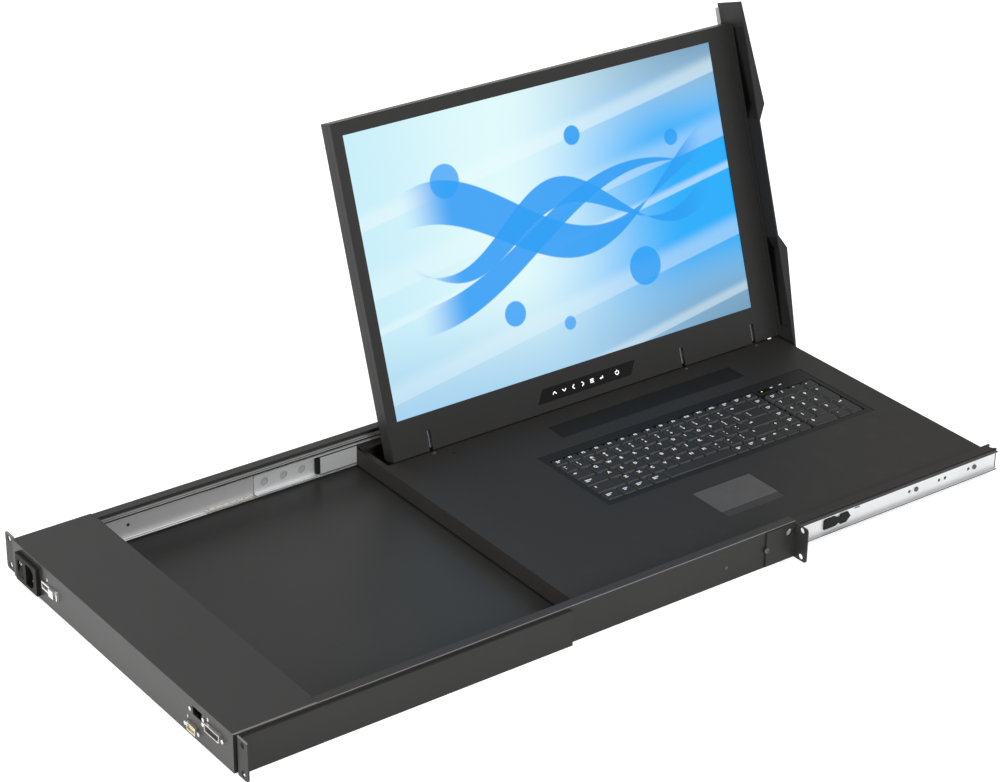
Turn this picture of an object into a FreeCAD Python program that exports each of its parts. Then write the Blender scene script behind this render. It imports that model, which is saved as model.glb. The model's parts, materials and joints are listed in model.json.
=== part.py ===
import FreeCAD, Part
import math
import os
import re
import Sketcher

# Rack-mounted LCD console drawer, 1U, side-opening.  +X is the way the drawer
# slides out of the rack, the operator stands on the -Y ("near") side, +Z is up.
# The origin is the centre of the four front rack holes, in the ears' front face.
# The part stands as it does in use: drawer out, display tilted back.

os.makedirs("parts", exist_ok=True)
doc = FreeCAD.newDocument("lcd_console_drawer")

# ---------------------------------------------------------------- dimensions
DIMENSIONS = [
    ("chassis_width", 440.0),
    ("chassis_height", 43.5),
    ("chassis_depth", 695.0),
    ("chassis_sheet", 1.2),
    ("flange_width", 11.0),
    ("cover_depth", 93.0),
    ("cover_sheet", 0.9),
    ("rack_hole_span", 465.1),
    ("ear_margin", 8.75),
    ("rack_hole_pitch", 31.75),
    ("rack_hole_radius", 3.4),
    ("ear_sheet", 1.6),
    ("ear_height", 41.0),
    ("ear_window_radius", 4.6),
    ("ear_length", 41.0),
    ("ear_corner", 3.5),
    ("ear_screw_radius", 2.0),
    ("ear_head_radius", 3.2),
    ("bracket_length", 391.0),
    ("bracket_reach", 100.0),
    ("bracket_sheet", 1.5),
    ("bracket_gap", 3.4),
    ("bracket_drop", 3.2),
    ("bracket_lip", 7.0),
    ("bracket_play", 0.15),
    ("bracket_set", 4.0),
    ("bracket_ear_height", 44.0),
    ("bracket_stop_height", 10.0),
    ("keeper_length", 14.0),
    ("travel", 311.0),
    ("rail_space", 9.5),
    ("rail_sheet", 1.2),
    ("rail_centre", 17.6),
    ("outer_rail_height", 31.6),
    ("outer_rail_length", 630.0),
    ("mid_rail_height", 25.6),
    ("mid_rail_length", 398.0),
    ("rail_gap", 1.1),
    ("slide_gap", 0.35),
    ("inner_rail_tail", 48.0),
    ("inner_rail_end", 3.0),
    ("rail_hole_radius", 2.0),
    ("cage_sheet", 0.5),
    ("cage_length", 330.0),
    ("cage_tie", 1.5),
    ("ball_radius", 0.8),
    ("ball_pitch", 9.0),
    ("roller_length", 3.2),
    ("lever_length", 38.0),
    ("lever_height", 12.0),
    ("lever_sheet", 1.6),
    ("drawer_length", 578.0),
    ("drawer_bottom", 4.6),
    ("drawer_side", 25.0),
    ("drawer_sheet", 1.2),
    ("strip_width", 13.0),
    ("ledge_width", 6.5),
    ("deck_height", 24.5),
    ("deck_setback", 5.0),
    ("trough_front", 20.0),
    ("notch_radius", 4.0),
    ("key_pitch", 18.6),
    ("key_gap", 2.2),
    ("key_height", 5.0),
    ("key_draft", 1.5),
    ("key_rise", 0.2),
    ("key_stem", 4.0),
    ("key_bed_gap", 2.4),
    ("key_bed_sheet", 2.0),
    ("function_key_depth", 12.0),
    ("numpad_gap", 4.0),
    ("keyboard_left", -113.0),
    ("keyboard_front", -46.0),
    ("keyboard_side", 7.0),
    ("keyboard_lip", 9.0),
    ("keyboard_depth", 130.0),
    ("led_width", 22.0),
    ("led_depth", 7.0),
    ("accessory_length", 270.0),
    ("accessory_depth", 30.0),
    ("accessory_left", -66.0),
    ("accessory_front", 97.5),
    ("touchpad_width", 82.0),
    ("touchpad_depth", 62.0),
    ("touchpad_front", -148.0),
    ("touchpad_left", -30.0),
    ("touchpad_sink", 0.4),
    ("touch_button_depth", 12.0),
    ("touch_button_travel", 0.5),
    ("under_lap", 3.0),
    ("hinge_across", 175.8),
    ("hinge_inset", 14.0),
    ("hinge_rise", 18.8),
    ("hinge_tip_radius", 3.6),
    ("hinge_pin_radius", 1.6),
    ("hinge_arm_sheet", 3.0),
    ("hinge_slot_width", 5.0),
    ("hinge_first", -206.0),
    ("hinge_second", 160.0),
    ("hinge_third", 270.0),
    ("lid_tilt", 18.3),
    ("lid_gap", 0.4),
    ("lid_thickness", 18.8),
    ("lid_sheet", 1.0),
    ("bezel_sheet", 1.5),
    ("bezel_lip", 6.0),
    ("bezel_ridge", 4.0),
    ("screen_width", 518.4),
    ("screen_height", 324.0),
    ("margin_left", 13.6),
    ("margin_right", 36.0),
    ("margin_bottom", 43.2),
    ("margin_top", 15.5),
    ("module_margin", 6.0),
    ("module_thickness", 10.0),
    ("control_length", 135.7),
    ("control_height", 16.3),
    ("control_slant", 9.0),
    ("control_left", -54.4),
    ("control_proud", 0.3),
    ("hinge_block_width", 7.0),
    ("front_panel_length", 426.0),
    ("front_panel_sheet", 2.0),
    ("front_panel_gap", 0.5),
    ("front_panel_height", 42.6),
    ("flange_reach", 5.0),
    ("flange_stub", 3.2),
    ("wing_depth", 10.5),
    ("wing_half_recess", 70.0),
    ("wing_chamfer", 18.0),
    ("port_width", 17.6),
    ("port_height", 9.2),
    ("console_width", 28.0),
    ("port_reach", 3.6),
    ("standoff_radius", 2.4),
    ("standoff_reach", 2.6),
    ("inlet_rim", 2.0),
    ("inlet_proud", 4.5),
    ("plug_width", 16.6),
    ("plug_height", 24.4),
    ("plug_bevel", 5.0),
    ("inlet_depth", 24.0),
    ("plug_depth", 17.0),
    ("rocker_width", 12.0),
    ("rocker_height", 18.0),
    ("rocker_tilt", 8.0),
    ("supply_length", 78.0),
    ("supply_width", 70.0),
    ("supply_height", 30.0),
    ("board_sheet", 1.6),
    ("board_post", 3.0),
    ("fit_gap", 0.3),
]
FORMULAS = {
    "floor": "-chassis_height / 2",
    "half": "chassis_width / 2",
    "panel_width": "rack_hole_span + 2 * ear_margin",
    "inside": "half - chassis_sheet",
    "drawer_half": "inside - rail_space",
    "drawer_front": "travel - deck_setback",
    "drawer_rear": "drawer_front - drawer_length",
    "drawer_floor": "floor + drawer_bottom",
    "strip_top": "drawer_floor + drawer_side",
    "deck_top": "floor + deck_height",
    "rail_axis": "floor + rail_centre",
    "hinge_height": "deck_top + lid_gap + hinge_inset",
    "lid_left": "lid_right - margin_left - screen_width - margin_right",
    "lid_right": "travel",
    "lid_back": "hinge_inset - lid_thickness",
    "lid_low": "-hinge_rise",
    "lid_high": "lid_low + margin_bottom + screen_height + margin_top",
    "screen_left": "lid_left + margin_left",
    "screen_right": "screen_left + screen_width",
    "screen_low": "lid_low + margin_bottom",
    "screen_high": "screen_low + screen_height",
    "deck_under": "deck_top - drawer_sheet",
    "trough_edge": "hinge_across - trough_front",
    "main_right": "keyboard_left + 16 * key_pitch",
    "numpad_left": "main_right + numpad_gap",
    "keys_right": "numpad_left + 4 * key_pitch",
    "keys_back": "keyboard_front + 5 * key_pitch",
    "function_back": "keys_back + function_key_depth + key_gap",
    "keys_top": "deck_top + key_rise",
    "keys_low": "keys_top - key_height",
    "key_bed": "keys_low - key_bed_gap",
    "frame_left": "keyboard_left - keyboard_side",
    "frame_right": "keys_right + keyboard_side",
    "frame_front": "keyboard_front - keyboard_lip",
    "frame_back": "frame_front + keyboard_depth",
    "rail_out": "inside - rail_sheet",
    "mid_back": "rail_out - rail_gap",
    "mid_front": "mid_back - rail_sheet",
    "mid_half": "mid_rail_height / 2",
    "outer_half": "outer_rail_height / 2",
    "inner_half": "mid_half - rail_sheet - slide_gap",
    "inner_skin": "drawer_half + rail_sheet",
    "rail_front": "-4",
    "rail_back": "rail_front - outer_rail_length",
    "mid_rear": "rail_front - 1 - mid_rail_length",
    "cage_rear": "mid_rear - 63",
    "face": "hinge_inset",
    "bezel_back": "face - bezel_sheet",
    "skirt_low": "bezel_back - bezel_lip",
    "lid_inner": "lid_back + lid_sheet",
    "slot_top": "hinge_tip_radius + 0.8",
    "tail": "drawer_rear - inner_rail_tail",
    "bracket_ear": "-chassis_depth + bracket_set",
    "bracket_front": "bracket_ear + bracket_length",
    "bracket_top": "floor + chassis_height - bracket_drop",
    "bracket_low": "floor - fit_gap",
    "bracket_axis": "(bracket_top + bracket_low) / 2",
    "wing_peak": "wing_half_recess + wing_chamfer",
    "panel_in": "travel + front_panel_gap",
    "panel_out": "panel_in + front_panel_sheet",
    "panel_end": "front_panel_length / 2",
}
sheet = doc.addObject("Spreadsheet::Sheet", "Dims")
ALIASES = [name for name, number in DIMENSIONS]
for row, (name, number) in enumerate(DIMENSIONS, start=1):
    sheet.set(f"A{row}", name)
    sheet.set(f"B{row}", str(number))
    sheet.setAlias(f"B{row}", name)
doc.recompute()


def formula(text):
    """An expression over the sheet, with the named formulas written out."""

    def swap(match):
        word = match.group(0)
        if word in FORMULAS:
            return "(" + formula(FORMULAS[word]) + ")"
        return "Dims." + word if word in ALIASES else word

    return re.sub(r"[a-z_]+", swap, str(text))


def value(text):
    """The number that a formula gives."""
    return float(sheet.evalExpression(formula(text)))


def bind(thing, prop, text):
    thing.setExpression(prop, formula(text))


def place(thing, x="0", y="0", z="0", turn=None):
    """Bind a Placement's position; turn is (axis, angle formula)."""
    if turn:
        thing.Placement = FreeCAD.Placement(FreeCAD.Vector(), FreeCAD.Rotation(turn[0], value(turn[1])))
        bind(thing, "Placement.Rotation.Angle", turn[1])
    bind(thing, "Placement.Base.x", x)
    bind(thing, "Placement.Base.y", y)
    bind(thing, "Placement.Base.z", z)
    return thing


# ------------------------------------------------------- PartDesign helpers
def new_body(name):
    made = doc.addObject("PartDesign::Body", name)
    made.Label = name
    return made


def draw(body, plane, loops=(), circles=(), shift="0"):
    """A sketch on one of the body's origin planes: closed loops of points and
    circles (x, y, radius), every coordinate a formula."""
    sketch = body.newObject("Sketcher::SketchObject", body.Name + "_sketch")
    support = [item for item in body.Origin.OriginFeatures if item.Role == plane][0]
    sketch.AttachmentSupport = [(support, "")]
    sketch.MapMode = "FlatFace"
    bind(sketch, "AttachmentOffset.Base.z", shift)
    held = []
    for points in loops:
        spots = [FreeCAD.Vector(value(x), value(y), 0) for x, y in points]
        first = sketch.GeometryCount
        for here, there in zip(spots, spots[1:] + spots[:1]):
            sketch.addGeometry(Part.LineSegment(here, there))
        for index in range(len(points)):
            after = first + (index + 1) % len(points)
            sketch.addConstraint(Sketcher.Constraint("Coincident", first + index, 2, after, 1))
            held.append((first + index, 1, points[index]))
    for x, y, radius in circles:
        centre = FreeCAD.Vector(value(x), value(y), 0)
        ring = sketch.addGeometry(Part.Circle(centre, FreeCAD.Vector(0, 0, 1), value(radius)))
        size = sketch.addConstraint(Sketcher.Constraint("Radius", ring, value(radius)))
        bind(sketch, f"Constraints[{size}]", radius)
        held.append((ring, 3, (x, y)))
    for item, end, (x, y) in held:
        for kind, text in (("DistanceX", x), ("DistanceY", y)):
            made = sketch.addConstraint(Sketcher.Constraint(kind, item, end, value(text)))
            bind(sketch, f"Constraints[{made}]", text)
    return sketch


def pad(body, sketch, length, both=False, backwards=False):
    made = body.newObject("PartDesign::Pad", body.Name + "_pad")
    made.Profile = sketch
    bind(made, "Length", length)
    made.Midplane = both
    made.Reversed = backwards
    return made


def pocket(body, sketch, depth, both=False, backwards=False):
    """A pocket that has to take material away."""
    doc.recompute()
    before = body.Shape.Volume
    made = body.newObject("PartDesign::Pocket", body.Name + "_pocket")
    made.Profile = sketch
    bind(made, "Length", depth)
    made.Midplane = both
    made.Reversed = backwards
    doc.recompute()
    if body.Shape.Volume >= before - 1e-6:
        raise RuntimeError(f"a pocket in {body.Name} cuts nothing")
    return made


def fillet(body, radius, chosen):
    """Round the edges whose bounding box is chosen."""
    doc.recompute()
    base = body.Tip
    edges = [f"Edge{i}" for i, edge in enumerate(base.Shape.Edges, start=1) if chosen(edge.BoundBox)]
    made = body.newObject("PartDesign::Fillet", body.Name + "_fillet")
    made.Base = (base, edges)
    bind(made, "Radius", radius)
    doc.recompute()
    return made


def oblong(x0, x1, y0, y1):
    """The four corners of a rectangle, as formulas."""
    return [(x0, y0), (x1, y0), (x1, y1), (x0, y1)]


# ------------------------------------------------------- Part helpers
def block(name, x0, x1, y0, y1, z0, z1):
    """A box between two corners, as formulas."""
    made = doc.addObject("Part::Box", name)
    made.Label = name
    bind(made, "Length", f"({x1}) - ({x0})")
    bind(made, "Width", f"({y1}) - ({y0})")
    bind(made, "Height", f"({z1}) - ({z0})")
    return place(made, x0, y0, z0)


AXES = {
    "x": (FreeCAD.Vector(0, 1, 0), "90"),
    "y": (FreeCAD.Vector(1, 0, 0), "-90"),
    "z": None,
}


def rod(name, axis, radius, length, x, y, z):
    """A cylinder that starts at x, y, z and runs along +axis."""
    made = doc.addObject("Part::Cylinder", name)
    made.Label = name
    bind(made, "Radius", radius)
    bind(made, "Height", length)
    return place(made, x, y, z, AXES[axis])


def minus(name, base, *tools):
    made = doc.addObject("Part::Cut", name)
    made.Label = name
    made.Base = base
    made.Tool = tools[0] if len(tools) == 1 else plus(name + "_tools", *tools)
    return made


def plus(name, *shapes):
    made = doc.addObject("Part::MultiFuse", name)
    made.Label = name
    made.Shapes = list(shapes)
    return made


def group(name, *shapes):
    """Separate solids that share one node."""
    made = doc.addObject("Part::Compound", name)
    made.Label = name
    made.Links = list(shapes)
    return made


SUBPARTS = []


def keep(thing):
    """Mark an object as a sub-part that is written out."""
    SUBPARTS.append(thing)
    return thing


SIDES = (("near", "-"), ("far", ""))


def on_side(sign, text):
    return f"{sign}({text})"


# ---------------------------------------------------------------- chassis
def chassis_pan():
    """Folded tray: floor and two walls with inward top flanges."""
    pan = new_body("chassis_pan")
    top = "floor + chassis_height"
    section = [
        ("-half", "floor"),
        ("half", "floor"),
        ("half", top),
        ("half - flange_width", top),
        ("half - flange_width", top + " - chassis_sheet"),
        ("inside", top + " - chassis_sheet"),
        ("inside", "floor + chassis_sheet"),
        ("-inside", "floor + chassis_sheet"),
        ("-inside", top + " - chassis_sheet"),
        ("-half + flange_width", top + " - chassis_sheet"),
        ("-half + flange_width", top),
        ("-half", top),
    ]
    pad(pan, draw(pan, "YZ_Plane", [section]), "chassis_depth - chassis_sheet", backwards=True)
    sides = draw(pan, "XZ_Plane", circles=[(x, "rail_axis", "2.1") for x in RAIL_SCREW_PLACES],
        shift="half + 1")
    pocket(pan, sides, "chassis_width + 2")
    window = draw(pan, "XZ_Plane", [RELIEF], circles=[WINDOW], shift="half + 1")
    pocket(pan, window, "chassis_width + 2")
    return keep(pan)


def rear_panel():
    """Plate that closes the pan's back end and carries the connectors."""
    panel = new_body("rear_panel")
    outline = oblong("-half", "half", "floor", "floor + chassis_height")
    pad(panel, draw(panel, "YZ_Plane", [outline], shift="-chassis_depth"), "chassis_sheet")
    cuts = draw(
        panel,
        "YZ_Plane",
        [
            oblong("inlet_left", "inlet_right", "inlet_low", "inlet_high"),
            oblong("jack_left", "jack_right", "jack_low", "jack_high"),
            oblong("spare_left", "spare_right", "spare_low", "spare_high"),
            oblong("vga_left", "vga_right", "vga_low", "vga_high"),
            oblong("video_left", "video_right", "video_low", "video_high"),
        ],
        shift="-chassis_depth - 1",
    )
    pocket(panel, cuts, "chassis_sheet + 2", backwards=True)
    return keep(panel)


# The back wall's cut-outs, seen from behind: power at the far side, video at the near side.
FORMULAS.update({
    "inlet_right": "half - 15.3",
    "inlet_left": "inlet_right - 41.3",
    "inlet_low": "floor + 6.5",
    "inlet_high": "inlet_low + 28",
    "jack_right": "inlet_left - 9",
    "jack_left": "jack_right - 35",
    "jack_low": "floor + 17.5",
    "jack_high": "jack_low + 9.6",
    "spare_left": "-half + 56.5",
    "spare_right": "spare_left + 17",
    "spare_low": "floor + 26.8",
    "spare_high": "spare_low + 9.2",
    "vga_left": "-half + 64.2",
    "vga_right": "vga_left + port_width",
    "vga_low": "floor + 6.5",
    "vga_high": "vga_low + port_height",
    "video_left": "-half + 19.7",
    "video_right": "video_left + console_width",
    "video_low": "floor + 23",
    "video_high": "video_low + port_height",
    "back_wall": "-chassis_depth",
    "cover_front": "-chassis_depth + cover_depth",
})
WINDOW = ("-9", "floor + 33", "ear_window_radius")
RELIEF = oblong("-ear_sheet - 1.6", "-ear_sheet", "floor + 29", "floor + 36")
RAIL_SCREW_PLACES = ("-94", "-330", "-560")


def rear_cover():
    """Flat lid over the electronics bay, with a folded front edge."""
    cover = new_body("rear_cover")
    top = "floor + chassis_height"
    section = [
        ("-chassis_depth", top),
        ("cover_front", top),
        ("cover_front", top + " - 4"),
        ("cover_front + 1", top + " - 4"),
        ("cover_front + 1", top + " + cover_sheet"),
        ("-chassis_depth", top + " + cover_sheet"),
    ]
    pad(cover, draw(cover, "XZ_Plane", [section]), "2 * (half - flange_width - fit_gap)", both=True)
    wings = oblong("-half", "half", top, top + " + cover_sheet")
    pad(cover, draw(cover, "YZ_Plane", [wings], shift="back_wall"), "cover_depth")
    return keep(cover)


def front_ear(side, sign):
    """Rack ear: an L of sheet steel screwed to the chassis wall."""
    ear = new_body("front_ear_" + side)
    out = on_side(sign, "panel_width / 2")
    wall = on_side(sign, "half + fit_gap")
    skin = on_side(sign, "half + fit_gap + ear_sheet")
    section = [
        ("-ear_length", wall),
        ("-ear_length", skin),
        ("-ear_sheet", skin),
        ("-ear_sheet", out),
        ("0", out),
        ("0", wall),
    ]
    outline = draw(ear, "XY_Plane", [section], shift="-ear_height / 2")
    pad(ear, outline, "ear_height")
    column = on_side(sign, "rack_hole_span / 2")
    holes = [(column, f"{up}rack_hole_pitch / 2", "rack_hole_radius") for up in ("", "-")]
    pocket(ear, draw(ear, "YZ_Plane", circles=holes, shift="1"), "ear_sheet + 2")
    openings = [WINDOW, ("-ear_length", "0", "ear_screw_radius + fit_gap")]
    reach = "half + ear_sheet + 5" if sign else "-(half - 2)"
    pocket(ear, draw(ear, "XZ_Plane", [RELIEF], circles=openings, shift=reach), "ear_sheet + 8")
    tip = value(out)
    fillet(ear, "ear_corner", lambda box: box.YLength < 0.1 and box.ZLength < 0.1
        and abs(box.YMin - tip) < 0.1)
    return keep(ear)


def ear_screws():
    """One screw at each ear's back edge, its head lapping over the plate."""
    made = []
    for side, sign in SIDES:
        root = "half" if not sign else "-half - fit_gap - ear_sheet"
        rim = "half + fit_gap + ear_sheet" if not sign else "-half - fit_gap - ear_sheet - 1"
        shank = rod(f"ear_shank_{side}", "y", "ear_screw_radius", "fit_gap + ear_sheet", "-ear_length",
            root, "0")
        head = rod(f"ear_head_{side}", "y", "ear_head_radius", "1", "-ear_length", rim, "0")
        made.append(plus(f"ear_screw_{side}", shank, head))
    return keep(group("ear_screws", *made))


def rear_bracket(side, sign):
    """Rack ear on a long lipped channel, open towards the chassis wall, that
    slides on two keepers to suit the rack's depth; two pressed stops end its
    travel."""
    bracket = new_body("rear_bracket_" + side)
    rim = on_side(sign, "half + fit_gap")
    lip = on_side(sign, "half + fit_gap + bracket_sheet")
    inner = on_side(sign, "half + bracket_gap")
    outer = on_side(sign, "half + bracket_gap + bracket_sheet")
    channel_section = [
        (rim, "bracket_low"),
        (outer, "bracket_low"),
        (outer, "bracket_top"),
        (rim, "bracket_top"),
        (rim, "bracket_top - bracket_lip"),
        (lip, "bracket_top - bracket_lip"),
        (lip, "bracket_top - bracket_sheet"),
        (inner, "bracket_top - bracket_sheet"),
        (inner, "bracket_low + bracket_sheet"),
        (lip, "bracket_low + bracket_sheet"),
        (lip, "bracket_low + bracket_lip"),
        (rim, "bracket_low + bracket_lip"),
    ]
    pad(bracket, draw(bracket, "YZ_Plane", [channel_section], shift="bracket_ear"), "bracket_length")
    out = on_side(sign, "panel_width / 2")
    ear = oblong(inner, out, "-bracket_ear_height / 2", "bracket_ear_height / 2")
    pad(bracket, draw(bracket, "YZ_Plane", [ear], shift="bracket_ear"), "bracket_sheet", backwards=True)
    stop = oblong(lip, inner, "bracket_axis - bracket_stop_height / 2",
        "bracket_axis + bracket_stop_height / 2")
    for end in ("bracket_ear", "bracket_front - bracket_sheet"):
        pad(bracket, draw(bracket, "YZ_Plane", [stop], shift=end), "bracket_sheet")
    column = on_side(sign, "rack_hole_span / 2")
    holes = [(column, f"{up}rack_hole_pitch / 2", "rack_hole_radius") for up in ("", "-")]
    cut = draw(bracket, "YZ_Plane", circles=holes, shift="bracket_ear - bracket_sheet - 1")
    pocket(bracket, cut, "bracket_sheet + 2", backwards=True)
    edge = value(out)
    fillet(bracket, "ear_corner", lambda box: box.YLength < 0.1 and box.ZLength < 0.1
        and abs(box.YMin - edge) < 0.1)
    return keep(bracket)


KEEPERS = (
    "bracket_ear + bracket_sheet + bracket_play",
    "bracket_front - bracket_sheet - bracket_reach - bracket_play - keeper_length",
)


def bracket_screws():
    """Two screws per wall, each holding a keeper plate behind the channel's
    lips: the rear one meets the rear stop when the bracket is in, and the
    front one the front stop when it is out."""
    made = []
    seat = "half + fit_gap + bracket_sheet + bracket_play"
    face = "half + bracket_gap - bracket_play"
    low = "bracket_low + bracket_sheet + bracket_play"
    high = "bracket_top - bracket_sheet - bracket_play"
    for side, sign in SIDES:
        root = "half" if not sign else f"-({seat})"
        ends = sorted((on_side(sign, seat), on_side(sign, face)), key=value)
        for number, start in enumerate(KEEPERS):
            name = f"bracket_screw_{side}_{number}"
            middle = f"{start} + keeper_length / 2"
            shank = rod(name + "_shank", "y", "ear_screw_radius", f"{seat} - half", middle, root,
                "bracket_axis")
            plate = block(name + "_keeper", start, f"{start} + keeper_length", *ends, low, high)
            made.append(plus(name, shank, plate))
    return keep(group("bracket_screws", *made))


# ---------------------------------------------------------------- slides
def channel(name, x0, x1, back, front, half_height, sheet_size="rail_sheet"):
    """A C-section rail along X: its web at back, its flanges reaching to front."""
    rail = new_body(name)
    web = f"({back}) + ({front} > {back} ? 1 : -1) * {sheet_size}"
    section = [
        (back, f"rail_axis - {half_height}"),
        (back, f"rail_axis + {half_height}"),
        (front, f"rail_axis + {half_height}"),
        (front, f"rail_axis + {half_height} - {sheet_size}"),
        (web, f"rail_axis + {half_height} - {sheet_size}"),
        (web, f"rail_axis - {half_height} + {sheet_size}"),
        (front, f"rail_axis - {half_height} + {sheet_size}"),
        (front, f"rail_axis - {half_height}"),
    ]
    pad(rail, draw(rail, "YZ_Plane", [section], shift=x0), f"({x1}) - ({x0})")
    return rail


def web_holes(rail, side, holes):
    """Round holes through a rail's web."""
    reach = "inside + 1" if side == "near" else "-(drawer_half - 1)"
    cut = draw(rail, "XZ_Plane", circles=holes, shift=reach)
    pocket(rail, cut, "rail_space + 2")


def outer_rail(side, sign):
    tip = "drawer_half + 1.2"
    rail = channel("outer_rail_" + side, "rail_back", "rail_front", on_side(sign, "inside"),
        on_side(sign, tip), "outer_half")
    web_holes(rail, side, [(x, "rail_axis", "rail_hole_radius") for x in RAIL_SCREW_PLACES])
    return keep(rail)


def mid_rail(side, sign):
    tip = "drawer_half + 1.2"
    rail = channel(
        "mid_rail_" + side,
        "mid_rear",
        "mid_rear + mid_rail_length",
        on_side(sign, "mid_back"),
        on_side(sign, tip),
        "mid_half",
    )
    web_holes(rail, side, [(f"mid_rear + {step}", "rail_axis", "5") for step in (13, 38, 62)])
    return keep(rail)


def inner_rail(side, sign):
    """The member on the drawer's wall, with its flanges running inside the
    middle member."""
    rail = channel(
        "inner_rail_" + side,
        "tail",
        "travel - inner_rail_end",
        on_side(sign, "drawer_half"),
        on_side(sign, "mid_front - 0.5"),
        "inner_half",
    )
    small = [(f"travel - {step}", "rail_axis", "rail_hole_radius") for step in (44, 80, 89, 134)]
    web_holes(rail, side, small)
    reach = "inside + 1" if sign else "-(drawer_half - 1)"
    slot = oblong("travel - 216", "travel - 208", "rail_axis + 5", "rail_axis + 7")
    pocket(rail, draw(rail, "XZ_Plane", [slot], shift=reach), "rail_space + 2")
    return keep(rail)


def ball_cage(side, sign):
    """Retainer between the outer and middle members: two slotted strips and
    the ties that join them.  Its balls are short rollers."""
    half_height = "((mid_half + outer_half - rail_sheet + cage_sheet) / 2)"
    front = "drawer_half + 2.4"
    cage = channel(
        f"cage_strip_{side}",
        "cage_rear",
        "cage_rear + cage_length",
        on_side(sign, "rail_out - (rail_gap - cage_sheet) / 2"),
        on_side(sign, front),
        half_height,
        "cage_sheet",
    )
    low = f"rail_axis - {half_height} + cage_tie"
    high = f"rail_axis + {half_height} - cage_tie"
    open_web = [
        oblong("cage_rear - 1", "mid_rear + cage_tie", low, high),
        oblong("mid_rear + 6 * cage_tie", "cage_rear + cage_length - 5 * cage_tie", low, high),
    ]
    reach = "inside + 1" if sign else "-(drawer_half - 1)"
    pocket(cage, draw(cage, "XZ_Plane", open_web, shift=reach), "rail_space + 2")
    middle = on_side(sign, f"(rail_out + {front}) / 2")
    balls = []
    slots = []
    for step in range(CAGE_BALLS):
        x = f"cage_rear + ball_pitch * {step + 0.5}"
        reach = "ball_radius + fit_gap"
        half_slot = "(roller_length / 2 - 0.1)"
        slots.append(oblong(f"{x} - {reach}", f"{x} + {reach}", f"{middle} - {half_slot}",
            f"{middle} + {half_slot}"))
        for number, up in enumerate(("-", "+")):
            track = f"rail_axis {up} (mid_half + outer_half - rail_sheet) / 2"
            start = f"{middle} - roller_length / 2"
            balls.append(rod(f"roller_{side}_{step}_{number}", "y", "ball_radius - 0.05", "roller_length",
                x, start, track))
    pocket(cage, draw(cage, "XY_Plane", slots, shift="floor + chassis_height"), "chassis_height")
    return keep(plus("ball_cage_" + side, cage, *balls))


CAGE_BALLS = 7


def outer_rail_screws():
    """Flush screws from the chassis walls into the outer rails."""
    made = []
    for side, sign in SIDES:
        for number, x in enumerate(RAIL_SCREW_PLACES):
            start = "rail_out" if not sign else "-half"
            name = f"outer_rail_screw_{side}_{number}"
            made.append(rod(name, "y", "rail_hole_radius - 0.1", "half - rail_out", x, start, "rail_axis"))
    return keep(group("outer_rail_screws", *made))


def inner_rail_screws():
    made = []
    for side, sign in SIDES:
        start = "inner_skin" if not sign else "-inner_skin - 0.9"
        for number, step in enumerate((35, 124, 400)):
            made.append(rod(f"rail_screw_{side}_{number}", "y", "2.9", "0.9", f"travel - {step}", start,
                "rail_axis"))
    return keep(group("inner_rail_screws", *made))


def tail_stops():
    """Plastic stops in the inner members' back ends."""
    made = []
    for side, sign in SIDES:
        near = "inner_skin" if not sign else "-mid_front + 1"
        far = "mid_front - 1" if not sign else "-inner_skin"
        low = "rail_axis - inner_half + rail_sheet + fit_gap"
        high = "rail_axis + inner_half - rail_sheet - fit_gap"
        made.append(block(f"tail_stop_{side}", "tail - 5", "tail + 8", near, far, low, high))
    return keep(group("tail_stops", *made))


def release_lever(side, sign):
    """Arrow-shaped catch that pivots in the inner member's channel."""
    lever = new_body("release_lever_" + side)
    tail = "travel - 261"
    tip = "travel - 261 + lever_length"
    up = "lever_height / 2"
    outline = [
        (tail, f"rail_axis - {up}"),
        (tail, f"rail_axis + {up} - 2"),
        (f"{tail} + 2", f"rail_axis + {up}"),
        (f"{tail} + lever_length * 0.42", f"rail_axis + {up}"),
        (f"{tail} + lever_length * 0.5", f"rail_axis + {up} * 0.55"),
        (f"{tail} + lever_length * 0.6", f"rail_axis + {up} * 0.55"),
        (f"{tail} + lever_length * 0.64", f"rail_axis + {up}"),
        (f"{tip} - 4", f"rail_axis + {up}"),
        (tip, "rail_axis"),
        (f"{tip} - 6", f"rail_axis - {up}"),
        (f"{tail} + lever_length * 0.62", f"rail_axis - {up}"),
        (f"{tail} + lever_length * 0.55", f"rail_axis - {up} * 0.6"),
        (f"{tail} + lever_length * 0.42", f"rail_axis - {up}"),
    ]
    start = "-(inner_skin + fit_gap)" if not sign else "inner_skin + fit_gap + lever_sheet"
    pad(lever, draw(lever, "XZ_Plane", [outline], shift=start), "lever_sheet", backwards=True)
    doc.recompute()
    return keep(lever)


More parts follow.
